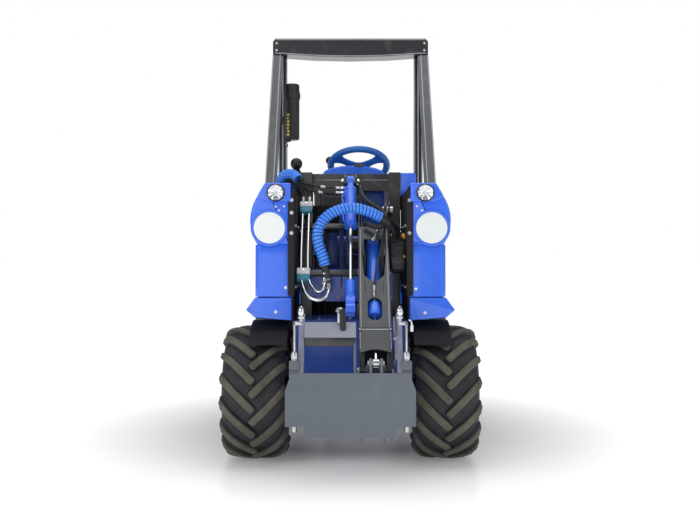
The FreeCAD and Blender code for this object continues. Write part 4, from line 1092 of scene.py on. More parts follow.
def canister():
    """Screw-capped tube with its cap, its band, a generic yellow strip, the hanging latch and the clamp to the
    post."""
    low, high = 1.468, 1.751
    centre = (-0.298, 0.040, low)
    tall = high - low
    body = turned([(0.000, 0.0325), (0.003, 0.0365), (0.008, 0.0380), (0.200, 0.0380),
                   (0.204, 0.0388), (0.2045, 0.0405), (0.212, 0.0410), (0.240, 0.0410),
                   (0.2445, 0.0400), (0.2455, 0.0380), (0.2480, 0.0380), (tall - 0.007, 0.0378),
                   (tall - 0.002, 0.0350), (tall, 0.0320), (tall, 0.0005)], centre, (0, 0, 1), 56)
    band = turned([(0.214, 0.0408), (0.214, 0.0424), (0.222, 0.0428), (0.226, 0.0428),
                   (0.234, 0.0424), (0.234, 0.0408)], centre, (0, 0, 1), 56, ring_shaped=True)
    clamp = slab([(60, 1560), (126, 1560), (126, 1590), (60, 1590)], -352, -318, 3, 3,
                 plane="YZ")
    ears = slab([(-338, 1460), (-318, 1452), (-300, 1458), (-300, 1475), (-338, 1475)], 6, 14,
                3, 2)
    ring = swept(smooth_path([(-0.324, 0.010, 1.452), (-0.332, 0.008, 1.444),
                              (-0.333, 0.008, 1.434), (-0.325, 0.010, 1.428),
                              (-0.317, 0.011, 1.434), (-0.319, 0.010, 1.444)], 2), 0.0022, 8)
    patches = []
    for row in range(7):
        z0 = 1.486 + 0.0168 * row
        lean = np.radians(2.5 * math.sin(row * 2.1))
        wide = math.radians(11 - 2 * (row % 3))
        turn = np.linspace(-1, 1, 8) * wide + math.radians(-118) + lean
        rise = np.linspace(0, 0.010, 4)
        patch = np.stack(np.broadcast_arrays(
            centre[0] + 0.0384 * np.cos(turn)[None], centre[1] + 0.0384 * np.sin(turn)[None],
            (z0 + rise)[:, None]), axis=-1)
        patches.append(grid(patch))
    return joined(body, clamp), band, joined(ears, ring), joined(*patches)


TUBE, TUBE_BAND, TUBE_LATCH, TUBE_MARKS = canister()
piece("canister_tube", TUBE, BLACK_PLASTIC, sharp=35, replaces=("canister",))
piece("canister_band", TUBE_BAND, HOSE, sharp=35)
piece("canister_latch", TUBE_LATCH, BLACK_PLASTIC, sharp=35)
piece("canister_strip", TUBE_MARKS, YELLOW_INK, sharp=35)

gauge = turned([(0.0, 0.024), (0.004, 0.024), (0.006, 0.021), (0.0055, 0.0195),
                (0.004, 0.019), (0.004, 0.0005)], (0.040, -0.345, 1.2985),
               (0, -0.4, 0.92), 40)
piece("dash_gauge", gauge, BLACK_PLASTIC, sharp=35)


# ---------------------------------------------------------------- boom's pipes and hoses

PIPES_X = (-215.5, -186.5)
PIPE_OUTER = [(PIPES_X[0], -30, 0), (PIPES_X[0], 400, 0), (-186, 512, 12), (-133, 549, 22),
              (-95, 528, 28), (-89, 475, 30)]
PIPE_INNER = [(PIPES_X[1], -30, 0), (PIPES_X[1], 400, 0), (-154, 481, 14), (-129, 500, 22),
              (-111, 484, 28), (-108, 444, 30)]
AUX_HOSE = [(-108, 384, 58), (-118, 350, 84), (-135, 317, 112), (-142, 284, 138),
            (-133, 250, 161), (-110, 222, 180), (-75, 199, 192), (-35, 184, 198),
            (8, 178, 199), (50, 182, 192), (92, 190, 179), (130, 200, 160), (163, 208, 134),
            (188, 213, 103), (203, 216, 60)]
SLOT_HOSE = [(188, 192, 45), (186, 164, 58), (175, 151, 80), (160, 163, 98), (150, 198, 105),
             (142, 246, 102), (133, 300, 96), (122, 356, 90), (111, 412, 88), (102, 468, 89),
             (97, 522, 88)]
SUPPLY_HOSE = [(-333, -362, 1177), (-333, -362, 1212), (-319, -383, 1244),
               (-288, -411, 1258), (-258, -441, 1249), (-236, -472, 1223)]


def boom_frame(route):
    """Points of the boom's axes as points of the frame, all in mm."""
    return in_axes(route, BOOM_AXES) / MM


piece("pipe_pair", joined(hose_line(boom_frame(PIPE_OUTER), 6.5, 20),
                          hose_line(boom_frame(PIPE_INNER), 6.5, 20)), CHROME, "boom", 50,
      ("aux_pipes",))
BAND_PITCH = 0.0152
piece("boom_hose_guard", spiral_guard(smooth_path(in_axes(AUX_HOSE[:12], BOOM_AXES)), 0.0228,
                                      BAND_PITCH), GUARD_BLUE, "boom", 60, ("aux_hose",))
piece("boom_hose_core", joined(hose_line(boom_frame(AUX_HOSE[:13]), 19.6, 28),
                               hose_line(boom_frame(AUX_HOSE[10:]), 18.4, 28)), HOSE, "boom",
      60)
piece("supply_hose_guard", spiral_guard(smooth_path(np.array(SUPPLY_HOSE) * MM), 0.0218,
                                        BAND_PITCH), GUARD_BLUE, sharp=60,
      replaces=("supply_hose",))
piece("supply_hose_core", hose_line(SUPPLY_HOSE, 19.4, 28), HOSE, sharp=60)
piece("slot_line", hose_line(boom_frame(SLOT_HOSE), 5, 16), HOSE, "boom", 50, ("slot_hose",))

foot_outer, foot_inner = np.array(PIPE_OUTER[-1], float), np.array(PIPE_INNER[-1], float)
top_outer, top_inner = np.array((-98, 402, 46), float), np.array((-109, 401, 46), float)
boots, rings = [], []
for foot, top in ((foot_outer, top_outer), (foot_inner, top_inner)):
    step = (top - foot) / np.linalg.norm(top - foot)
    rings += [nut(foot - 16 * step, foot - 2 * step, 21),
              fitting(foot - 2 * step, foot + 12 * step,
                      [(0, 8.5), (0.05, 10.5), (0.3, 10.5), (0.4, 9.2), (0.55, 9.2),
                       (0.6, 10.8), (0.95, 10.8), (1, 9.4)]),
              fitting(foot + 26 * step, foot + 34 * step, [(0, 10), (0.1, 11.4), (0.9, 11.4),
                                                           (1, 10)])]
    folds = [(share, 9.6 + 0.7 * math.sin(share * 40)) for share in np.linspace(0, 1, 30)]
    boots.append(fitting(foot + 11 * step, top, folds))
start, end = np.array((-103, 409, 40), float), np.array(AUX_HOSE[0], float)
folds = [(share, 15.5 + 1.6 * share + 0.5 * math.sin(share * 17)
          - 6 * max(0, 0.18 - share) ** 0.5) for share in np.linspace(0, 1, 26)]
boots.append(fitting(start, end + (end - start) * 0.12, folds, 32))
piece("hose_boots", on_axes(BOOM_AXES, *boots), HOSE, "boom", 60, ("hose_fittings",))
piece("pipe_nuts", on_axes(
    BOOM_AXES, *rings,
    *[nut((x, -30, 0), (x, -12, 0), 17) for x in PIPES_X],
    *[fitting((x, -34, 0), (x, -29, 0), [(0, 8.5), (1, 8.5)]) for x in PIPES_X]), CHROME,
      "boom")


def pipe_clamp(start, white_end, end):
    """A split clamp round both pipes: a white half with its edge plate, a teal half, ribs
    across them and a screw between the pipes."""
    white = joined(box((-229, start, -15), (-172.5, white_end, 15), 3),
                   box((-228, start + 4, 14), (-173.5, white_end - 5, 17.5), 1.2))
    teal = joined(box((-228, white_end, -14), (-173.5, end, 13.5), 4),
                  *[box((x, white_end + 3, 13), (x + 5, end - 4, 15), 1)
                    for x in (-221, -210, -196, -185)])
    screw = fitting((-201, (start + white_end) / 2, 16.5), (-201, (start + white_end) / 2, 21),
                    [(0, 6), (0.7, 6), (1, 4.5), (1, 0.1)], 20)
    return white, teal, screw


whites, teals, screws = zip(*[pipe_clamp(*span) for span in ((-44, -14, 20), (355, 388, 418))])
piece("clamps_white", on_axes(BOOM_AXES, *whites), WHITE_CLAMP, "boom")
piece("clamps_teal", on_axes(BOOM_AXES, *teals), TEAL_CLAMP, "boom")
piece("clamp_screws", on_axes(BOOM_AXES, *screws), CHROME, "boom")

banjo = joined(hose_end((97.3, 516, 88), (96.5, 545, 82), 5),
               hose_line([(96.5, 543, 82), (96.7, 557, 76), (97.5, 562, 62), (98, 562, 50)], 4),
               fitting((98, 562, 56), (98, 562, 38), [(0, 5), (0.1, 9.5), (0.45, 9.5), (0.5, 7),
                                                      (0.6, 9.5), (0.95, 9.5), (1, 6)]))
elbow = joined(
    hose_line([(119, 184, 78), (117, 199, 76), (109, 216, 75), (103, 236, 73)], 4.2),
    nut((114, 208, 75.4), (108, 220, 75), 13), nut((105, 228, 74), (102, 240, 73), 15),
    fitting((100, 247, 60), (100, 247, 78), [(0, 8), (0.15, 9.5), (0.75, 9.5), (0.8, 6.5),
                                             (0.95, 6.5), (1, 5), (1, 0.1)]))
piece("chrome_elbows", on_axes(BOOM_AXES, banjo, elbow), ZINC, "boom")


def coupling():
    """Multi-coupling: stepped housing with a hinged lid and its lever, an amber cap on its
    outer side, and below it the weather boot, a limp sleeve that bulges and creases."""
    body = joined(box((165, 206, 10), (240, 247, 66), 5), box((168, 190, 12), (224, 212, 58), 6),
                  box((172, 214, 60), (226, 240, 72), 4), box((163, 196, 20), (172, 240, 52), 3),
                  fitting((176, 200, 66), (228, 200, 62), [(0, 3.5), (0.1, 5), (0.9, 5),
                                                           (1, 3.5)]))
    screws = joined(*[fitting((x, y, 62), (x, y, 76.5), [(0, 4.5), (0.8, 4.5), (1, 2.5),
                                                         (1, 0.1)], 20)
                      for x, y in ((178, 219), (205, 222))])
    cap = fitting((229, 221, 40), (231, 219, 76), [(0, 13), (0.3, 15), (0.6, 16), (0.8, 14),
                                                   (0.93, 9), (1, 0.1)], 32)
    rows = []
    for t in np.linspace(0, 1, 34):
        bulge = 3.2 * math.sin(t * 9.5 + 0.6) + 1.6 * math.sin(t * 23)
        narrow = 7 * t ** 3
        rows.append((247 + 141 * t, 167.5 + narrow - 0.4 * bulge, 237 - narrow + 0.5 * bulge,
                     13 + 3 * t, 60 - 9 * t + bulge))
    boot = sleeve(rows, 0.42, 48)
    hem = joined(sleeve([(246, 165, 239, 11, 62), (250, 163.5, 240.5, 10, 64.5),
                         (255, 165, 239, 11, 62)], 0.42, 48),
                 sleeve([(380, 173, 232, 15, 52), (385, 171, 234, 13.5, 54),
                         (389, 174, 231, 16, 51)], 0.42, 48))
    return body, screws, cap, joined(boot, hem)


BODY, SCREWS, CAP, BOOT = coupling()
piece("coupling_housing", on_axes(BOOM_AXES, BODY), BLACK_PLASTIC, "boom", 35,
      ("coupling_block",))
piece("coupling_screws", on_axes(BOOM_AXES, SCREWS), CHROME, "boom", 35)
piece("coupling_cap", on_axes(BOOM_AXES, CAP), AMBER_CAP, "boom")
piece("coupling_sleeve", on_axes(BOOM_AXES, BOOT), HOSE, "boom", 70, ("coupling_boot",))
piece("coupling_mark", on_axes(BOOM_AXES, box((226, 322, 44), (234, 334, 57), 2)), AMBER_CAP,
      "boom")


# ---------------------------------------------------------------- hoses that cross a joint

def crossing(name, shape, material):
    """A piece that crosses a joint: it rides on no body and stays where it is drawn in the frame."""
    made = piece(name, shape, material, None, 60)
    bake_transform(made)


for name, x, mouth in (("pipe_supply_outer", PIPES_X[0], (-243, -466, 1226)),
                       ("pipe_supply_inner", PIPES_X[1], (-229, -478, 1222))):
    foot, neck, bend = boom_frame([(x, -31, 0), (x, -78, 0), (x - 4, -108, 4)])
    knee = (np.array(mouth) * 0.62 + bend * 0.38) + (2, 6, 4)
    crossing(name, hose_line([np.array(mouth) - (-6, 8, -4), mouth, knee, bend, neck], 9),
             HOSE)
    piece(name + "_end", hose_end(neck, foot, 8.5), CHROME, "boom")

PORTS_ALONG = (46, 73)
PORTS = [in_axes([(-40, along, 4)], LIFT_AXES)[0] / MM for along in PORTS_ALONG]
for name, mouth, way, ferrule, port in (
        ("lift_line_upper", (-226, -476, 1212), (-180, -525, 1196), (-120, -556, 1181),
         PORTS[0]),
        ("lift_line_lower", (-230, -470, 1206), (-186, -520, 1172), (-131, -560, 1156),
         PORTS[1])):
    crossing(name, hose_line([mouth, way, ferrule, (ferrule + port) / 2 + (0, -3, 2), port], 5.2),
             HOSE)
    piece(name + "_ferrule", fitting(
        np.array(ferrule) - (14, -4, -3), np.array(ferrule) + (9, 0, -2),
        [(0, 6.4), (0.05, 7.6), (0.4, 7.6), (0.5, 6.8), (0.6, 7.6), (0.95, 7.6), (1, 6.4)]),
          ZINC)
    piece(name + "_end", hose_end(port - (26, 0, -2), port + (10, 0, 0), 5.6), CHROME,
          "lift_barrel")

THIN_GUARD, THIN_PITCH = 0.0112, 0.0095
LOOP = [(40, -102, 50), (42, -56, 88), (46, -8, 110), (60, 44, 120), (92, 88, 126),
        (124, 122, 136), (146, 158, 140), (160, 192, 138), (170, 214, 128)]
BRANCH = [(60, 168, 92), (84, 184, 98), (112, 200, 102), (140, 206, 112), (160, 202, 128)]
for name, route in (("black_guard_loop", LOOP), ("black_guard_branch", BRANCH)):
    shape = spiral_guard(smooth_path(in_axes(route, BOOM_AXES)), THIN_GUARD, THIN_PITCH, 22)
    if name == "black_guard_loop":
        crossing(name, shape, GUARD_BLACK)
    else:
        piece(name, shape, GUARD_BLACK, "boom", 60)
piece("coupling_tail", hose_line(boom_frame([(166, 208, 132), (180, 222, 116), (190, 232, 92),
                                             (194, 236, 64)]), 8.5, 20), HOSE, "boom", 60)


# ---------------------------------------------------------------- cylinders

def cylinder_barrel(span, radius, eye, ports):
    """A cylinder's tube with a welded end cap and a screwed gland, its eye, and bosses for
    its hoses; along its own axis from its upper pin, in mm."""
    start, end = span
    tube = fitting((0, start, 0), (0, end, 0), [
        (0, 0.1), (0, radius * 0.72), (0.03, radius * 0.97), (0.07, radius * 0.97),
        (0.08, radius * 1.03), (0.1, radius * 1.03), (0.11, radius * 0.96),
        (0.86, radius * 0.96), (0.865, radius * 1.06), (0.985, radius * 1.06),
        (1, radius * 0.98), (1, radius * 0.4)], 48)
    lug = turned([(-0.0148, eye * 0.55 * MM), (-0.015, eye * 0.97 * MM),
                  (-0.0135, eye * MM), (0.0135, eye * MM), (0.015, eye * 0.97 * MM),
                  (0.0148, eye * 0.55 * MM)], (0, 0, 0), (1, 0, 0), 40, ring_shaped=True)
    bosses = [fitting((-radius * 0.8, along, 4), (-radius - 6, along, 4), [(0, 9), (0.8, 9),
                                                                          (1, 7.5), (1, 0.1)])
              for along in ports]
    neck = box((-13, eye * 0.6, -14), (13, start + 6, 14), 4)
    return joined(tube, lug, *bosses, neck)


LIFT_BARREL = cylinder_barrel((38, 262), 27, 24, PORTS_ALONG)
piece("lift_tube", on_axes(LIFT_AXES, LIFT_BARREL), BLUE_COAT, "lift_barrel", 38,
      ("lift_barrel",))
piece("lift_line_pipe", on_axes(LIFT_AXES, hose_line(
    [(-27, 88, 8), (-36, 92, 10), (-37, 104, 10), (-34, 118, 8), (-32, 220, 8), (-30, 236, 8),
     (-20, 240, 6)], 4)), BLUE_COAT, "lift_barrel", 50)
LIFT_PIN = (-540, 1210)
piece("lift_eye_screws", joined(
    nut((-40, *LIFT_PIN), (-30, *LIFT_PIN), 19), nut((30, *LIFT_PIN), (38, *LIFT_PIN), 19),
    fitting((-43, *LIFT_PIN), (-29, *LIFT_PIN), [(0, 0.1), (0, 7), (1, 7)]),
    fitting((29, *LIFT_PIN), (41, *LIFT_PIN), [(0, 7), (1, 7), (1, 0.1)]),
    fitting((30.6, -560, 1196), (30.6, -567, 1193), [(0, 3), (0.6, 3), (1, 2), (1, 0.1)])),
      CHROME)


# ---------------------------------------------------------------- boom

BOOM_X = 99
BOOM_LEFT, BOOM_RIGHT = 34, 164
SHEET = [(BOOM_LEFT + 4, 168), (BOOM_RIGHT - 4, 168), (BOOM_RIGHT - 4, 722),
         (BOOM_LEFT + 4, 722)]


def boom_top():
    """The outer boom's top plate: an open mouth whose sides draw in to a round end, and the
    long round-ended slot below it."""
    mouth = [(141, 240), *arc((131, 440), 10, 0, 40, 4), *arc((99, 470), 13, 40, 140, 8),
             *arc((67, 440), 10, 140, 180, 4), (57, 240)]
    slot = [*arc((99, 654), 28, 0, 180, 14), *arc((99, 595), 28, 180, 360, 14)]
    return pierced(SHEET, [mouth, slot], 63, 69.5)


def boom_side(x):
    """A side plate of the outer boom with its cheek, drawn in to the pivot's eye."""
    turn = np.radians(np.linspace(-14, -166, 20))
    points = [(50 * math.sin(t), 50 * math.cos(t)) for t in turn]
    outline = [(168, 72), (722, 72), (722, -70), (168, -70), *points[::-1]]
    return upright_plate(outline, x, 6, [arc((0, 0), 21, 0, 345, 24)])


def weld(start, end, radius=3.2, bead=5.5):
    """A weld seam: a run of overlapping beads."""
    start, end = np.array(start, float), np.array(end, float)
    count = max(3, int(np.linalg.norm(end - start) / bead * 4))
    share = np.linspace(0, 1, count)
    path = start + (end - start) * share[:, None]
    swell = radius * (0.85 + 0.15 * np.abs(np.sin(np.arange(count) * math.pi / 4)))
    return swept(path * MM, swell * MM, 10)


sides = [boom_side(BOOM_LEFT), boom_side(BOOM_RIGHT - 6)]
floor_plate = pierced(SHEET, [], -69.5, -63)
arms = []
for along in (62, 340):
    arms.append(box((-229.5, along - 15, -47), (BOOM_LEFT + 4, along + 15, -35), 2.5))
    for x in PIPES_X:
        arms.append(box((x - 9, along - 13, -38), (x + 9, along + 13, -6.5), 2))
arms.append(box((-229.5, -20, -47), (-172.5, 77, -35), 2.5))
lug_boss = fitting((26, 607, 39), (34, 607, 39), [(0, 25), (0.2, 28), (1, 28)], 40)
bosses = [fitting((x, 0, 0), (x + 14, 0, 0), [(0, 24), (0, 34), (0.1, 36), (0.9, 36), (1, 34),
                                              (1, 24)], 40) for x in (BOOM_LEFT, 150)]
piece("boom_box", on_axes(BOOM_AXES, boom_top(), *sides, floor_plate, *arms, lug_boss, *bosses),
      BOOM_GREY, "boom", 32, ("boom_outer",), bevel=0.0014)
# Weld beads along the top plate's edges, coloured pale grey: a painted highlight on those edges.
piece("boom_welds_painted_highlight", on_axes(
    BOOM_AXES, *[weld((x, 170, 69.5), (x, 721, 69.5)) for x in (BOOM_LEFT + 8, BOOM_RIGHT - 8)],
    *[weld((BOOM_LEFT, along - 15, -34), (BOOM_LEFT, along + 15, -34)) for along in (62, 340)]),
      HIGHLIGHT_GREY, "boom", 60)


def collar():
    """The sliding section's collar below the outer boom: a bowed top sheet cut to an arch at its foot, two side
    plates and small ears at its upper corners."""
    foot = [(x, 842 - 17 * math.sin(math.pi * (x - 40) / 118)) for x in np.linspace(158, 40, 17)]
    top = pierced([(BOOM_LEFT + 1, 727), (BOOM_RIGHT - 1, 727), (BOOM_RIGHT - 1, 838), *foot,
                   (BOOM_LEFT + 1, 838)], [], 62, 69)
    nose = [(879 + 30 * math.sin(t), 30 * math.cos(t))
            for t in np.radians(np.linspace(5, 175, 18))]
    bore = arc((879, 0), 12, 0, 345, 20)
    outer = [(727, 70), (830, 70), *nose, (830, -60), (727, -69)]
    inner = [(812, 56), (826, 56), *nose, (826, -59), (812, -59)]
    plates = [upright_plate(outer, x, 6, [bore]) for x in (BOOM_LEFT + 1, BOOM_RIGHT - 7)]
    plates += [upright_plate(inner, x, 14, [bore]) for x in (BOOM_X - 58, BOOM_X + 44)]
    ears = [box((x, 724, 60), (x + 5, 742, 74), 1.5) for x in (BOOM_LEFT, BOOM_RIGHT - 5)]
    return joined(top, *plates), ears


COLLAR, EARS = collar()
SLIDE_FROM, SLIDE_TO = 130, 828
channel = [box((BOOM_X + low, SLIDE_FROM, -59), (BOOM_X + high, SLIDE_TO, top), 1.5)
           for low, high, top in ((-54, -48, 59), (48, 54, 59), (-54, 54, -53))]
ears_inner = [box((x, 132, -57), (x + 12, 178, -2), 4) for x in (BOOM_X - 36, BOOM_X + 24)]
piece("boom_slide_box", on_axes(BOOM_AXES, COLLAR, *channel, *ears_inner, *EARS), BOOM_GREY,
      "boom_slide", 32, ("boom_inner",), bevel=0.0012)
piece("collar_seams", on_axes(
    BOOM_AXES, weld((BOOM_LEFT + 5, 729, 69.5), (BOOM_RIGHT - 5, 729, 69.5), 2.6),
    *[weld((x, 732, 69), (x, 826, 69), 2.6) for x in (BOOM_LEFT + 4, BOOM_RIGHT - 4)],
    *[fitting((x, 731, 69), (x, 731, 78), [(0, 4), (0.1, 5.5), (0.6, 5.5), (1, 3), (1, 0.1)])
      for x in (BOOM_LEFT + 3, BOOM_RIGHT - 3)]), ZINC, "boom_slide", 60)
PIN_HEAD = [(0, 15), (0.3, 15), (0.5, 11.5), (0.9, 11.5), (1, 9), (1, 0.1)]
piece("tip_pin_ends", joined(*[
    fitting((x, *MAIN_PIN), (x + reach, *MAIN_PIN), rows, 28) for x, reach, rows in (
        (33, 130, [(0, 11.4), (1, 11.4)]), (38, -13, PIN_HEAD), (160, 12, PIN_HEAD))]), ZINC,
      "boom_slide", 40, ("boom_tip_pin",))

CHASSIS_FACE = -810
lower_cover = slab([(-186, 276), (186, 276), (186, 356), (-186, 356)], CHASSIS_FACE - 3,
                   CHASSIS_FACE + 1, 12, 1)
roof_cover = slab([(-150, -780), (150, -780), (150, -640), (-150, -640)], 600, 603, 14, 1, "XY")
# The chassis covers take the darkened blue: painted shade where the chassis lies in shadow.
piece("chassis_covers", joined(lower_cover, roof_cover), SHADED_BLUE, sharp=32)
piece("chassis_cover_bolts", joined(
    domes([(x, CHASSIS_FACE - 3, z) for x in (-170, -57, 57, 170) for z in (290, 342)],
          (0, -1, 0), 6.5),
    domes([(x, y, 603) for x in (-134, 0, 134) for y in (-766, -654)], (0, 0, 1), 6)), ZINC)
# The chassis seams take the darkened blue too: painted shade.
piece("chassis_seams", joined(
    *[weld((x, CHASSIS_FACE - 0.6, 258), (x, CHASSIS_FACE - 0.6, 592), 2.4)
      for x in (-225, 225)],
    weld((-225, CHASSIS_FACE - 0.6, 594), (225, CHASSIS_FACE - 0.6, 594), 2.2)), SHADED_BLUE,
      sharp=50)

TILT_BARREL = cylinder_barrel((16, 485), 33, 20, ())
piece("tilt_tube", on_axes(TILT_AXES, (TILT_BARREL[0] + np.array((BOOM_X * MM, 0, 0)),
                                       TILT_BARREL[1])), BLUE_COAT, "tilt_barrel", 38,
      ("tilt_barrel",))
foot_rows = [(0, 21), (0.02, 22.5), (0.4, 22.5), (0.42, 21), (1, 21)]
LIFT_EYE = joined(
    fitting((0, 548, 0), (0, 636, 0), foot_rows, 40),
    fitting((0, 546, 0), (0, 562, 0), [(0, 15), (0.2, 19), (0.7, 19), (1, 15)], 40),
    fitting((0, 616, 21), (0, 616, 30), [(0, 3), (0.5, 3), (0.6, 4), (0.8, 4), (1, 1.5),
                                         (1, 0.1)], 16),
    box((-20, 626, -19), (20, 686, 19), 5, 4),
    turned([(-0.020, 0.014), (-0.020, 0.028), (-0.018, 0.030), (0.018, 0.030), (0.020, 0.028),
            (0.020, 0.014)], (0, 688 * MM, 0), (1, 0, 0), 44, ring_shaped=True),
    fitting((-21, 688, 0), (22, 688, 0), [(0, 0.1), (0, 12), (1, 12), (1, 0.1)], 28),
    box((-18, 628, 18), (18, 631, 20.5), 1))
piece("lift_foot", on_axes(LIFT_AXES, LIFT_EYE), BLUE_COAT, "lift_rod", 38, ("lift_rod_eye",))


# ---------------------------------------------------------------- quick coupler

PLATE_FRONT, PLATE_BACK = -1190, -1180


def coupler_sheet():
    """The face plate with its clipped upper corners and the tongue below it."""
    outline = [(-251, 215), (-178, 215), (-178, 171), (178, 171), (178, 215), (251, 215),
               (251, 353), (234, 399), (234, 420), (-234, 420), (-234, 399), (-251, 353)]
    plate, faces = pierced(outline[::-1], [], PLATE_FRONT, PLATE_BACK)
    return plate[:, [0, 2, 1]], faces


bar_outline = [(PLATE_BACK, 260), (PLATE_BACK, 420), (-1052, 628), (-1040, 640), (-1018, 640),
               (-1010, 628), (-1125, 380), (-1125, 260)]
bars = [upright_plate(bar_outline, x, 22) for x in (-203, 181)]
cross_plate = upright_plate([(-1121, 551), (-1064, 608), (-1054, 608), (-1111, 551)], -181, 203)
lip = box((-178, -1113, 516), (18, -1107, 553), 2)
web = upright_plate([(PLATE_BACK, 380), (PLATE_BACK, 420), (-1085, 575), (-1056, 605),
                     (-1140, 380)], 12, 10)
lugs = []
for x in (BOOM_X - 27, BOOM_X + 15):
    ear = arc(MAIN_PIN, 28, 205, 330, 10)
    lugs.append(upright_plate([(PLATE_BACK, 300), *ear, (TILT_TIP[0] + 19, TILT_TIP[1]),
                               *arc(TILT_TIP, 20, 10, 130, 8), (PLATE_BACK, 420)], x, 12))
hexes = [upright_plate([(-1118, z - 34), (-1088, z + 2), (-1060, z + 30), (-1046, z + 18),
                        (-1062, z - 22), (-1096, z - 48)], 168, 8) for z in (600, 478)]
light_panel = upright_plate([(-1150, 470), (-1096, 560), (-1070, 585), (-1062, 560),
                             (-1122, 452)], 174, 6)
LOCK_X, LOCK_Y, KNOB_X = 216, -1156, 190
feet = [box((side * LOCK_X - 20, PLATE_BACK, low), (side * LOCK_X + 20, -1134, high), 3)
        for side in (-1, 1) for low, high in ((250, 270), (430, 466), (400, 430))]
teeth = [box((x, PLATE_BACK, 152), (x + 14, -1170, 212), 3) for x in (36, 120, 154)]
foot_bar = box((-178, PLATE_BACK, 181), (178, -1150, 191), 2)
# A dark strip under the cross plate: painted shade where the coupler's grey lies in shadow, drawn in anthracite.
piece("cross_plate_shaded_lip", lip, ANTHRACITE, "coupler", 32, bevel=0.001)
piece("coupler_plates", joined(coupler_sheet(), web, *lugs, *hexes, *feet, *teeth,
                               foot_bar), COUPLER_GREY, "coupler", 32, ("coupler_frame",),
      bevel=0.0013)
# The side bars, cross plate and side panel in the lightened coupler grey: painted light on faces that turn up.
piece("coupler_bars", joined(*bars, cross_plate, light_panel), LIT_COUPLER_GREY, "coupler", 32,
      bevel=0.0013)
tongue = joined(sleeve([(t, -29.5 - w, -29.5 + w, -8, 8) for t, w in
                        ((572, 3), (573, 7), (578, 10.5), (586, 12), (640, 11.5), (656, 10),
                         (662, 6), (664, 2))], 0.6, 32))
tongue = (tongue[0][:, [0, 2, 1]] + np.array((0, -1.089, 0)), tongue[1])
piece("hanging_handle", tongue, BLACK_PLASTIC, "coupler", 50)
piece("handle_bracket", joined(
    hose_line([(-30, -1080, 652), (-34, -1076, 662), (-44, -1072, 664), (-50, -1070, 652)], 5),
    nut((-44, -1072, 663), (-52, -1070, 648), 16), box((-52, -1072, 604), (-38, -1060, 645), 3),
    fitting((183, -1092, 545), (168, -1096, 545), [(0, 9), (0.7, 9), (1, 6), (1, 0.1)])), ZINC,
      "coupler", 45)


def pin_row():
    """The hinge's row of collars either side of the lugs."""
    rim = [(0, 19), (0.12, 25), (0.88, 25), (1, 19)]
    return joined(*[fitting((BOOM_X + x, *MAIN_PIN), (BOOM_X + x + wide, *MAIN_PIN), rim, 36)
                    for x, wide in ((-42, 14), (-13, 12), (1, 12), (29, 14))])


piece("pin_collars", pin_row(), COUPLER_GREY, "coupler")
piece("tilt_pin", fitting((BOOM_X - 34, *TILT_TIP), (BOOM_X + 34, *TILT_TIP), [
    (0, 7), (0.02, 10), (0.98, 10), (1, 7)], 28), ZINC, "coupler")

locks = []
for side in (-1, 1):
    x, y = side * LOCK_X, LOCK_Y
    locks += [
        fitting((x, y, 188), (x, y, 252), [(0, 6), (0.06, 10), (0.92, 10), (0.93, 12), (1, 12)]),
        fitting((x, y, 250), (x, y, 488), [(0, 11.5), (1, 11.5)]),
        fitting((x, y, 282), (x, y, 290), [(0, 14.5), (1, 14.5)]),
        fitting((x, y, 470), (x, y, 500), [(0, 12), (0.3, 14), (0.7, 14), (1, 9)]),
        box((x - 3.5, y - 8, 486), (x + 3.5, y + 8, 616), 1.5),
        box((min(x + 4 * side, x - 30 * side), y - 8, 602),
            (max(x + 4 * side, x - 30 * side), y + 8, 616), 2),
        fitting((side * KNOB_X, y, 606), (side * KNOB_X, y, 640), [
            (0, 6), (0.1, 7), (0.2, 6), (0.3, 7), (0.4, 6), (0.5, 7), (0.6, 6), (0.7, 7),
            (0.8, 6), (1, 6)])]
piece("lock_pin_set", joined(*locks), ZINC, "coupler", 40, ("lock_pins",))
knobs = [fitting((x, LOCK_Y, 638), (x, LOCK_Y, 676), [
    (0, 8), (0.1, 11), (0.35, 12.5), (0.6, 12), (0.85, 8.5), (1, 3), (1, 0.1)], 32)
    for x in (-KNOB_X, KNOB_X)]
knobs += [nut((x, LOCK_Y, 626), (x, LOCK_Y, 636), 21) for x in (-KNOB_X, KNOB_X)]
piece("lock_knobs", joined(*knobs), CHROME, "coupler")
piece("right_pull", joined(
    hose_line([(226, -1150, 622), (236, -1146, 616), (238, -1146, 596)], 3),
    box((231, -1151, 576), (243, -1141, 602), 3)), WHITE_CLAMP, "coupler", 50)


# ---------------------------------------------------------------- cowl, tower and roll bar

def domed_cowl():
    """The dash: a hood with a round shoulder line behind the tower's beam, and its narrower
    lower part to the right."""
    (_, front, _), (_, back, _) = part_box("dash_cowl")
    crown = [(163, 1262), (157, 1273), (146, 1284), (118, 1295), (70, 1304), (14, 1307),
             (-42, 1304), (-90, 1295), (-118, 1284), (-129, 1273), (-135, 1262)]
    upper = slab([(-135, 1186), (163, 1186), *crown], front / MM + 1, back / MM - 1, 10, 13,
                 steps=7)
    lower = slab([(51, 1021), (162, 1021), (162, 1190), (51, 1190)], front / MM + 1,
                 back / MM - 1, 12, 8)
    return joined(upper, lower)


piece("dash_hood", domed_cowl(), BLUE_PLASTIC, replaces=("dash_cowl",))
# Black sheets behind the tower, put where the body's inside lies in shade: painted shade, not a part of the
# loader.
shade_sheets = joined(
    box((-188, -342, 985), (48, -338, 1112), 1.5), box((-186, -340, 440), (30, -336, 668), 1.5),
    box((164, -342, 660), (186, -338, 1110), 1.5), box((30, -340, 440), (186, -336, 700), 1.5))
piece("painted_shade_sheets", shade_sheets, LINER)
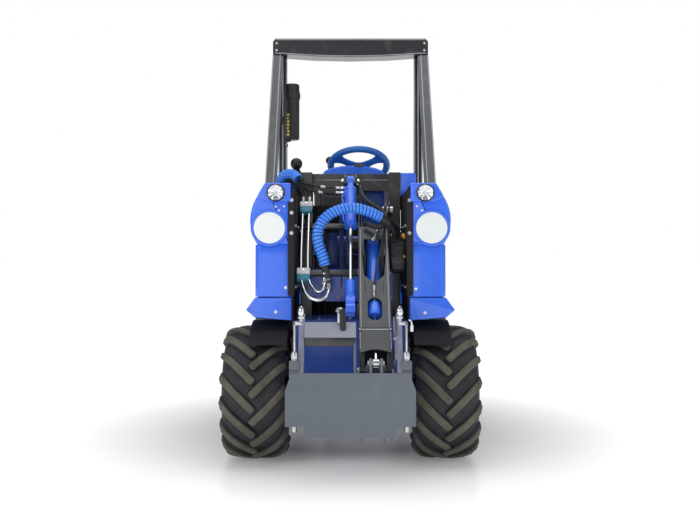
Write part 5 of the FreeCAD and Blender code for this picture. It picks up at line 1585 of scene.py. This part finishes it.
# Blue bands behind the tower in the darkened blue: painted shade inside the body.
blue_bands = joined(
    box((-52, -428, 700), (-30, -410, 1104), 4), box((-132, -336, 812), (-60, -330, 986), 2),
    box((-22, -352, 806), (10, -340, 990), 3),
    hose_line([(-41, -432, 1098), (-41, -434, 940), (-41, -434, 730)], 4))
piece("blue_channels", blue_bands, SHADED_BLUE)
valve = joined(box((-160, -380, 1010), (-96, -346, 1060), 3),
               box((-150, -384, 940), (-112, -346, 1000), 3))
piece("valve_block", valve, IRON)
piece("valve_unions", joined(
    *[nut((x, back, z), (x, front, z), size) for x, back, front, z, size in (
        (-127, -384, -398, 980, 17), (-127, -384, -400, 956, 14), (-146, -380, -396, 1036, 17),
        (-112, -380, -394, 1036, 17))]), YELLOW_ZINC)
hoses = [hose_line([(x, -398, 1036), (x, -420, 1030), (x - 6, -424, 980), (x - 14, -410, 860),
                    (x - 10, -396, 700), (x, -386, 600)], 7) for x in (-146, -112)]
hoses += [hose_line([(x, -372, 700), (x + 8, -388, 640), (x + 22, -380, 585),
                     (x + 50, -372, 560), (x + 90, -366, 556)], 8) for x in (-92, -62)]
piece("inner_hoses", joined(*hoses), HOSE, sharp=60)
PANEL_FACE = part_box("footwell_panel")[0][1] / MM
piece("panel_bolts", domes([(x, PANEL_FACE, z) for x in (-182, -60, 60, 182)
                            for z in (682, 796)], (0, -1, 0), 6), WHITE_CLAMP)

BEAM_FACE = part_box("rops_beam")[0][1] / MM
strip = upright_plate([(-397, 1180), (-391, 1180), (70, 1904), (64, 1904)], 343, 15)
piece("post_flanges", both_sides(strip), ANTHRACITE, bevel=0.001)
# Pale grey lines down the posts' edges: painted highlights where the light catches those edges.
beads = [hose_line([(x, y0, 1182), (x, y1, 1904)], 3.6, 10)
         for x, y0, y1 in ((359, -402, 62), (395, -402, 62), (332, 122, 130), (350, 119, 129),
                           (370, 122, 130))]
piece("post_highlight_lines", both_sides(joined(*beads)), HIGHLIGHT_GREY, sharp=50)
gusset = slab([(328, 1908), (345, 1908), (345, 1880)], BEAM_FACE + 66, BEAM_FACE + 74, 1, 1)
piece("beam_gussets", both_sides(gusset), ANTHRACITE)
piece("beam_studs", joined(
    domes([(x, 120, 1989) for x in (-372, -8, 364)], (0, 0, 1), 9),
    domes([(x, 60.5, z) for x in (-378, 378) for z in (1930, 1966)], (0, -1, 0), 7)), ZINC)
# Pale grey lines along the roll bar beam's lower and upper edges: painted highlights.
lower_beam_highlight = [(x, 60, z) for x, z in ((-386, 1915), (-328, 1914), (-190, 1904), (0, 1900),
                                     (190, 1904), (328, 1914), (386, 1915))]
upper_beam_highlight = [(-380, 60, 1984), (380, 60, 1984)]
# Pale grey lines across the tower beam's face at one height: painted highlights on its edge.
TOWER_BEAM_FACE, BEAM_HIGHLIGHT_HEIGHT = -352, 1230
tower_lines = [hose_line([(x, TOWER_BEAM_FACE, BEAM_HIGHLIGHT_HEIGHT) for x in ends], 2.4, 10)
               for ends in ((-165, -40), (50, 178))]
piece("tower_highlight_lines", joined(*tower_lines), HIGHLIGHT_GREY, sharp=50)
piece("beam_highlight_lines", joined(hose_line(lower_beam_highlight, 2.6, 10), hose_line(upper_beam_highlight, 2.6, 10)),
      HIGHLIGHT_GREY, sharp=50)


# ---------------------------------------------------------------- seat

PAD_VOXEL, PAD_PRESSURE, PAD_TRAVEL_MM, CLOTH_STEPS = 0.006, 4, 9, 20


def inflated(shape, name, held):
    """A closed pad filled like foam under vinyl: remeshed, blown up as cloth by a small
    pressure, and kept to a few millimetres of travel.  What rests on the seat stays flat:
    held gives an axis, a level on it, and the side of that level, -1 below or 1 above."""
    mesh = mesh_from(name, shape)
    tidy_normals(mesh)
    made = shown(name, mesh)
    voxels = made.modifiers.new("Remesh", "REMESH")
    voxels.mode = "VOXEL"
    voxels.voxel_size = PAD_VOXEL
    settle(made)
    start = read_points(made.data)
    group = made.vertex_groups.new(name="rests")
    axis, level, way = held
    resting = np.nonzero((start[:, axis] - level) * way > 0)[0]
    group.add(resting.tolist(), 1.0, "REPLACE")
    cloth = made.modifiers.new("Cloth", "CLOTH")
    cloth.settings.use_pressure = True
    cloth.settings.uniform_pressure_force = PAD_PRESSURE
    cloth.settings.vertex_group_mass = "rests"
    cloth.settings.effector_weights.gravity = 0
    for step in range(1, CLOTH_STEPS + 1):
        bpy.context.scene.frame_set(step)
    settle(made)
    bpy.context.scene.frame_set(1)
    moved = read_points(made.data) - start
    far = np.linalg.norm(moved, axis=1, keepdims=True)
    moved *= np.minimum(1, PAD_TRAVEL_MM * MM / np.maximum(far, 1e-9))
    start = start + moved
    made.vertex_groups.clear()
    made.data.materials.append(VINYL)
    return made, start


def settle(made):
    """Replace an object's mesh by what its modifiers make of it."""
    graph = bpy.context.evaluated_depsgraph_get()
    result = bpy.data.meshes.new_from_object(made.evaluated_get(graph))
    made.modifiers.clear()
    made.data = result


def read_points(mesh):
    """A mesh's points as an array."""
    flat = np.empty(len(mesh.vertices) * 3)
    mesh.vertices.foreach_get("co", flat)
    return flat.reshape(-1, 3)


CHANNEL_DEPTH = 0.0075


def stitched_pad(name, node, face_axis, channel_axis, channels, held):
    """A seat pad over a CAD node: inflated, then its sewn channels and its side seam are
    drawn in."""
    low, high = np.array(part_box(node))
    inset = np.array((0.008, 0.008, 0.006))
    made, spots = inflated(rounded_block(low + inset, high - inset, 0.026, 8), name, held)
    middle = (low + high) / 2
    face = (spots[:, face_axis] - middle[face_axis]) / (high - low)[face_axis] * 2
    sign = -1 if name == "backrest_pad" else 1
    front = np.clip(face * sign, 0, 1) ** 2
    sides = np.abs(spots[:, 0] - middle[0]) / ((high - low)[0] / 2)
    depth = np.exp(-((sides - 0.72) / 0.016) ** 2)
    for place in channels:
        gap = (spots[:, channel_axis] - place) / 0.006
        depth = depth + np.exp(-gap ** 2) * (1 - np.clip((sides - 0.68) / 0.06, 0, 1))
    spots[:, face_axis] -= sign * front * CHANNEL_DEPTH * depth
    seam = np.exp(-((spots[:, face_axis] - middle[face_axis] - sign * 0.012) / 0.005) ** 2)
    edge = np.clip((np.max(np.abs(spots - middle) / (high - low) * 2
                           * np.array([axis != face_axis for axis in range(3)]), axis=1)
                    - 0.86) / 0.1, 0, 1)
    pull = spots - middle
    pull[:, face_axis] = 0
    pull /= np.maximum(np.linalg.norm(pull, axis=1, keepdims=True), 1e-9)
    spots -= pull * (0.0045 * seam * edge)[:, None]
    spots = np.clip(spots, low - 0.003, high + 0.003)
    made.data.vertices.foreach_set("co", spots.ravel())
    made.data.shade_smooth()
    finish_piece(made, "front_frame", (node,), subdivide=1)


stitched_pad("cushion_pad", "seat_cushion", 2, 1, (0.01, 0.11, 0.21), (2, 0.905, -1))
stitched_pad("backrest_pad", "seat_backrest", 1, 2, (1.04, 1.12, 1.20), (1, 0.290, 1))
shell_low, shell_high = np.array(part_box("seat_base")) / MM
piece("seat_box", joined(
    box(shell_low + 1, shell_high - (1, 1, 14), 9, 5),
    box(shell_low * (1, 1, 0) + (-4, -4, shell_high[2] - 14), shell_high + (4, 4, -1), 5, 4),
    *[box((x, shell_low[1] - 4, shell_low[2] + 30),
          (x + 8, shell_high[1] + 2, shell_low[2] + 38), 2)
      for x in (shell_low[0] - 3, shell_high[0] - 5)]), BLACK_PLASTIC, replaces=("seat_base",))


# ---------------------------------------------------------------- rear body's fittings

WEIGHT_HIGH = np.array(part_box("counterweight")[1]) / MM
HOOD_HIGH = np.array(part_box("hood")[1]) / MM
piece("weight_bolts", bolts([(x, WEIGHT_HIGH[1], z) for x in (-250, 250) for z in (350, 560)],
                            (0, 1, 0), 0.030), ZINC, "rear_frame", 35)
piece("hood_grip", hose_line([(x, HOOD_HIGH[1] + out, z) for x, out, z in (
    (-70, -4, 690), (-70, 20, 694), (-50, 28, 700), (50, 28, 700), (70, 20, 694),
    (70, -4, 690))], 8, 20), BLACK_PLASTIC, "hood", 50)
louvres = []
for side in (-1, 1):
    for row in range(7):
        for column in (0, 1):
            y0, z0 = 560 + 240 * column, 760 + 26 * row
            slit = [(side * HOOD_HIGH[0], y0 + run, z0) for run in (0, 100, 200)]
            louvres.append(swept(np.array(slit) * MM, np.array([2.0, 4.2, 2.0]) * MM, 10))
piece("hood_louvres", joined(*louvres), BLACK_PLASTIC, "hood", 50)


# ---------------------------------------------------------------- painted steel from the frame

for node_name, coat in {
    # front_chassis takes the darkened blue as painted shade.
    "front_chassis": SHADED_BLUE, "front_axle": BLACK_COAT, "tower": ANTHRACITE,
    "footwell_panel": BLUE_COAT, "side_console": BLACK_PLASTIC,
    "platform": DECK, "rops_beam": ANTHRACITE, "rops_front_posts": ANTHRACITE,
    "rops_rear_posts": ANTHRACITE,
    "lift_rod": CHROME, "tilt_rod": CHROME, "steer_barrel": BLUE_COAT,
    "steer_rod": CHROME, "rear_chassis": ANTHRACITE, "rear_axle": BLACK_COAT,
    "engine": ENGINE_IRON, "counterweight": IRON, "exhaust": EXHAUST_STEEL,
    "hood": BLUE_COAT, "hood_grille": BLACK_PLASTIC, "mudguards": LINER,
    "boom_pins": ZINC, "pivot_pin": ZINC, "steering_column": BLACK_PLASTIC,
    "rear_lamps": RED_LENS,
}.items():
    eased(node_name, coat)


# ---------------------------------------------------------------- floor, light and camera

GLOW_ELLIPSE = (0.5, 0.42, 1)
WORLD_LIGHT, WORLD_MIRRORED = 0.46, 0.34


def make_stage():
    """A pale studio floor that keeps the loader's soft shadow; its own glow grows with the
    distance from the loader, along an ellipse, so that it turns white far out."""
    material, tree, shader, place = new_material("pale_floor", Roughness=0.25)
    shader.inputs["Emission Color"].default_value = (1, 1, 1, 1)
    spot = add(tree, "VectorMath", {1: GLOW_ELLIPSE}, {0: place}, operation="MULTIPLY")
    reach = add(tree, "VectorMath", None, {0: spot.outputs[0]}, operation="LENGTH")
    glow = add(tree, "MapRange", {"From Min": 0.25, "From Max": 0.8, "To Min": 0.01,
                                  "To Max": 0.72}, {"Value": reach.outputs["Value"]})
    tree.links.new(glow.outputs[0], shader.inputs["Emission Strength"])
    haze = grain(tree, place, 400, 2)
    feed(tree, shader, Base_Color=mix(tree, haze, "#dcdcdc", "#d6d6d7"))
    corners = np.array([[[-400, -60, 0], [400, -60, 0]], [[-400, 900, 0], [400, 900, 0]]], float)
    floor = shown("floor", mesh_from("floor", grid(corners)))
    floor.data.materials.append(material)


def make_world():
    """Soft white light all round, and plain white to the camera."""
    world = bpy.data.worlds.new("studio")
    bpy.context.scene.world = world
    world.use_nodes = True
    tree = world.node_tree
    glow = tree.nodes["Background"]
    glow.inputs["Color"].default_value = (1, 1, 1, 1)
    path = add(tree, "LightPath").outputs
    mirrored_part = add(tree, "MapRange", {"To Min": WORLD_LIGHT, "To Max": WORLD_MIRRORED},
                        {"Value": path["Is Glossy Ray"]})
    strength = add(tree, "MapRange", {"To Max": 1.0},
                   {"Value": path["Is Camera Ray"], "To Min": mirrored_part.outputs[0]})
    tree.links.new(strength.outputs[0], glow.inputs["Strength"])


def add_lamp(name, place, aim, size, watts):
    """A square soft box that faces its aim."""
    lamp = bpy.data.lights.new(name, "AREA")
    lamp.shape = "RECTANGLE"
    lamp.size, lamp.size_y = size
    lamp.energy = watts
    holder = shown(name, lamp)
    holder.location = place
    holder.rotation_euler = (Vector(aim) - Vector(place)).to_track_quat("-Z", "Y").to_euler()


# Focal length and width of view share one unit of their own; only their ratio counts.
FOCAL, VIEW_WIDTH = 967.5, 700
CAMERA_PLACE = (0, -4.89, 0.844)


def make_camera():
    """Level camera in front of the loader, on its centre line, at chest height."""
    lens = bpy.data.cameras.new("camera")
    lens.sensor_width = 36
    lens.lens = FOCAL / VIEW_WIDTH * lens.sensor_width
    lens.shift_x = -0.5 / VIEW_WIDTH
    camera = shown("camera", lens)
    camera.location = CAMERA_PLACE
    camera.rotation_euler = (math.pi / 2, 0, 0)
    bpy.context.scene.camera = camera


make_stage()
make_world()
add_lamp("overhead_box", (0, -0.7, 4.4), (0, -0.5, 0.8), (3.6, 3.0), 60)
add_lamp("front_box", (-1.5, -5.8, 1.6), (0, -0.8, 0.8), (3.4, 2.4), 24)
add_lamp("left_box", (-3.6, -3.8, 2.6), (0, -0.6, 0.8), (2.2, 2.6), 50)
add_lamp("right_box", (3.6, -3.8, 2.2), (0, -0.6, 0.8), (2.2, 2.6), 34)
add_lamp("rear_box", (0, 4.2, 3.2), (0, 0.4, 0.8), (3.4, 2.2), 20)
make_camera()

scene = bpy.context.scene
scene.view_settings.view_transform = "Standard"
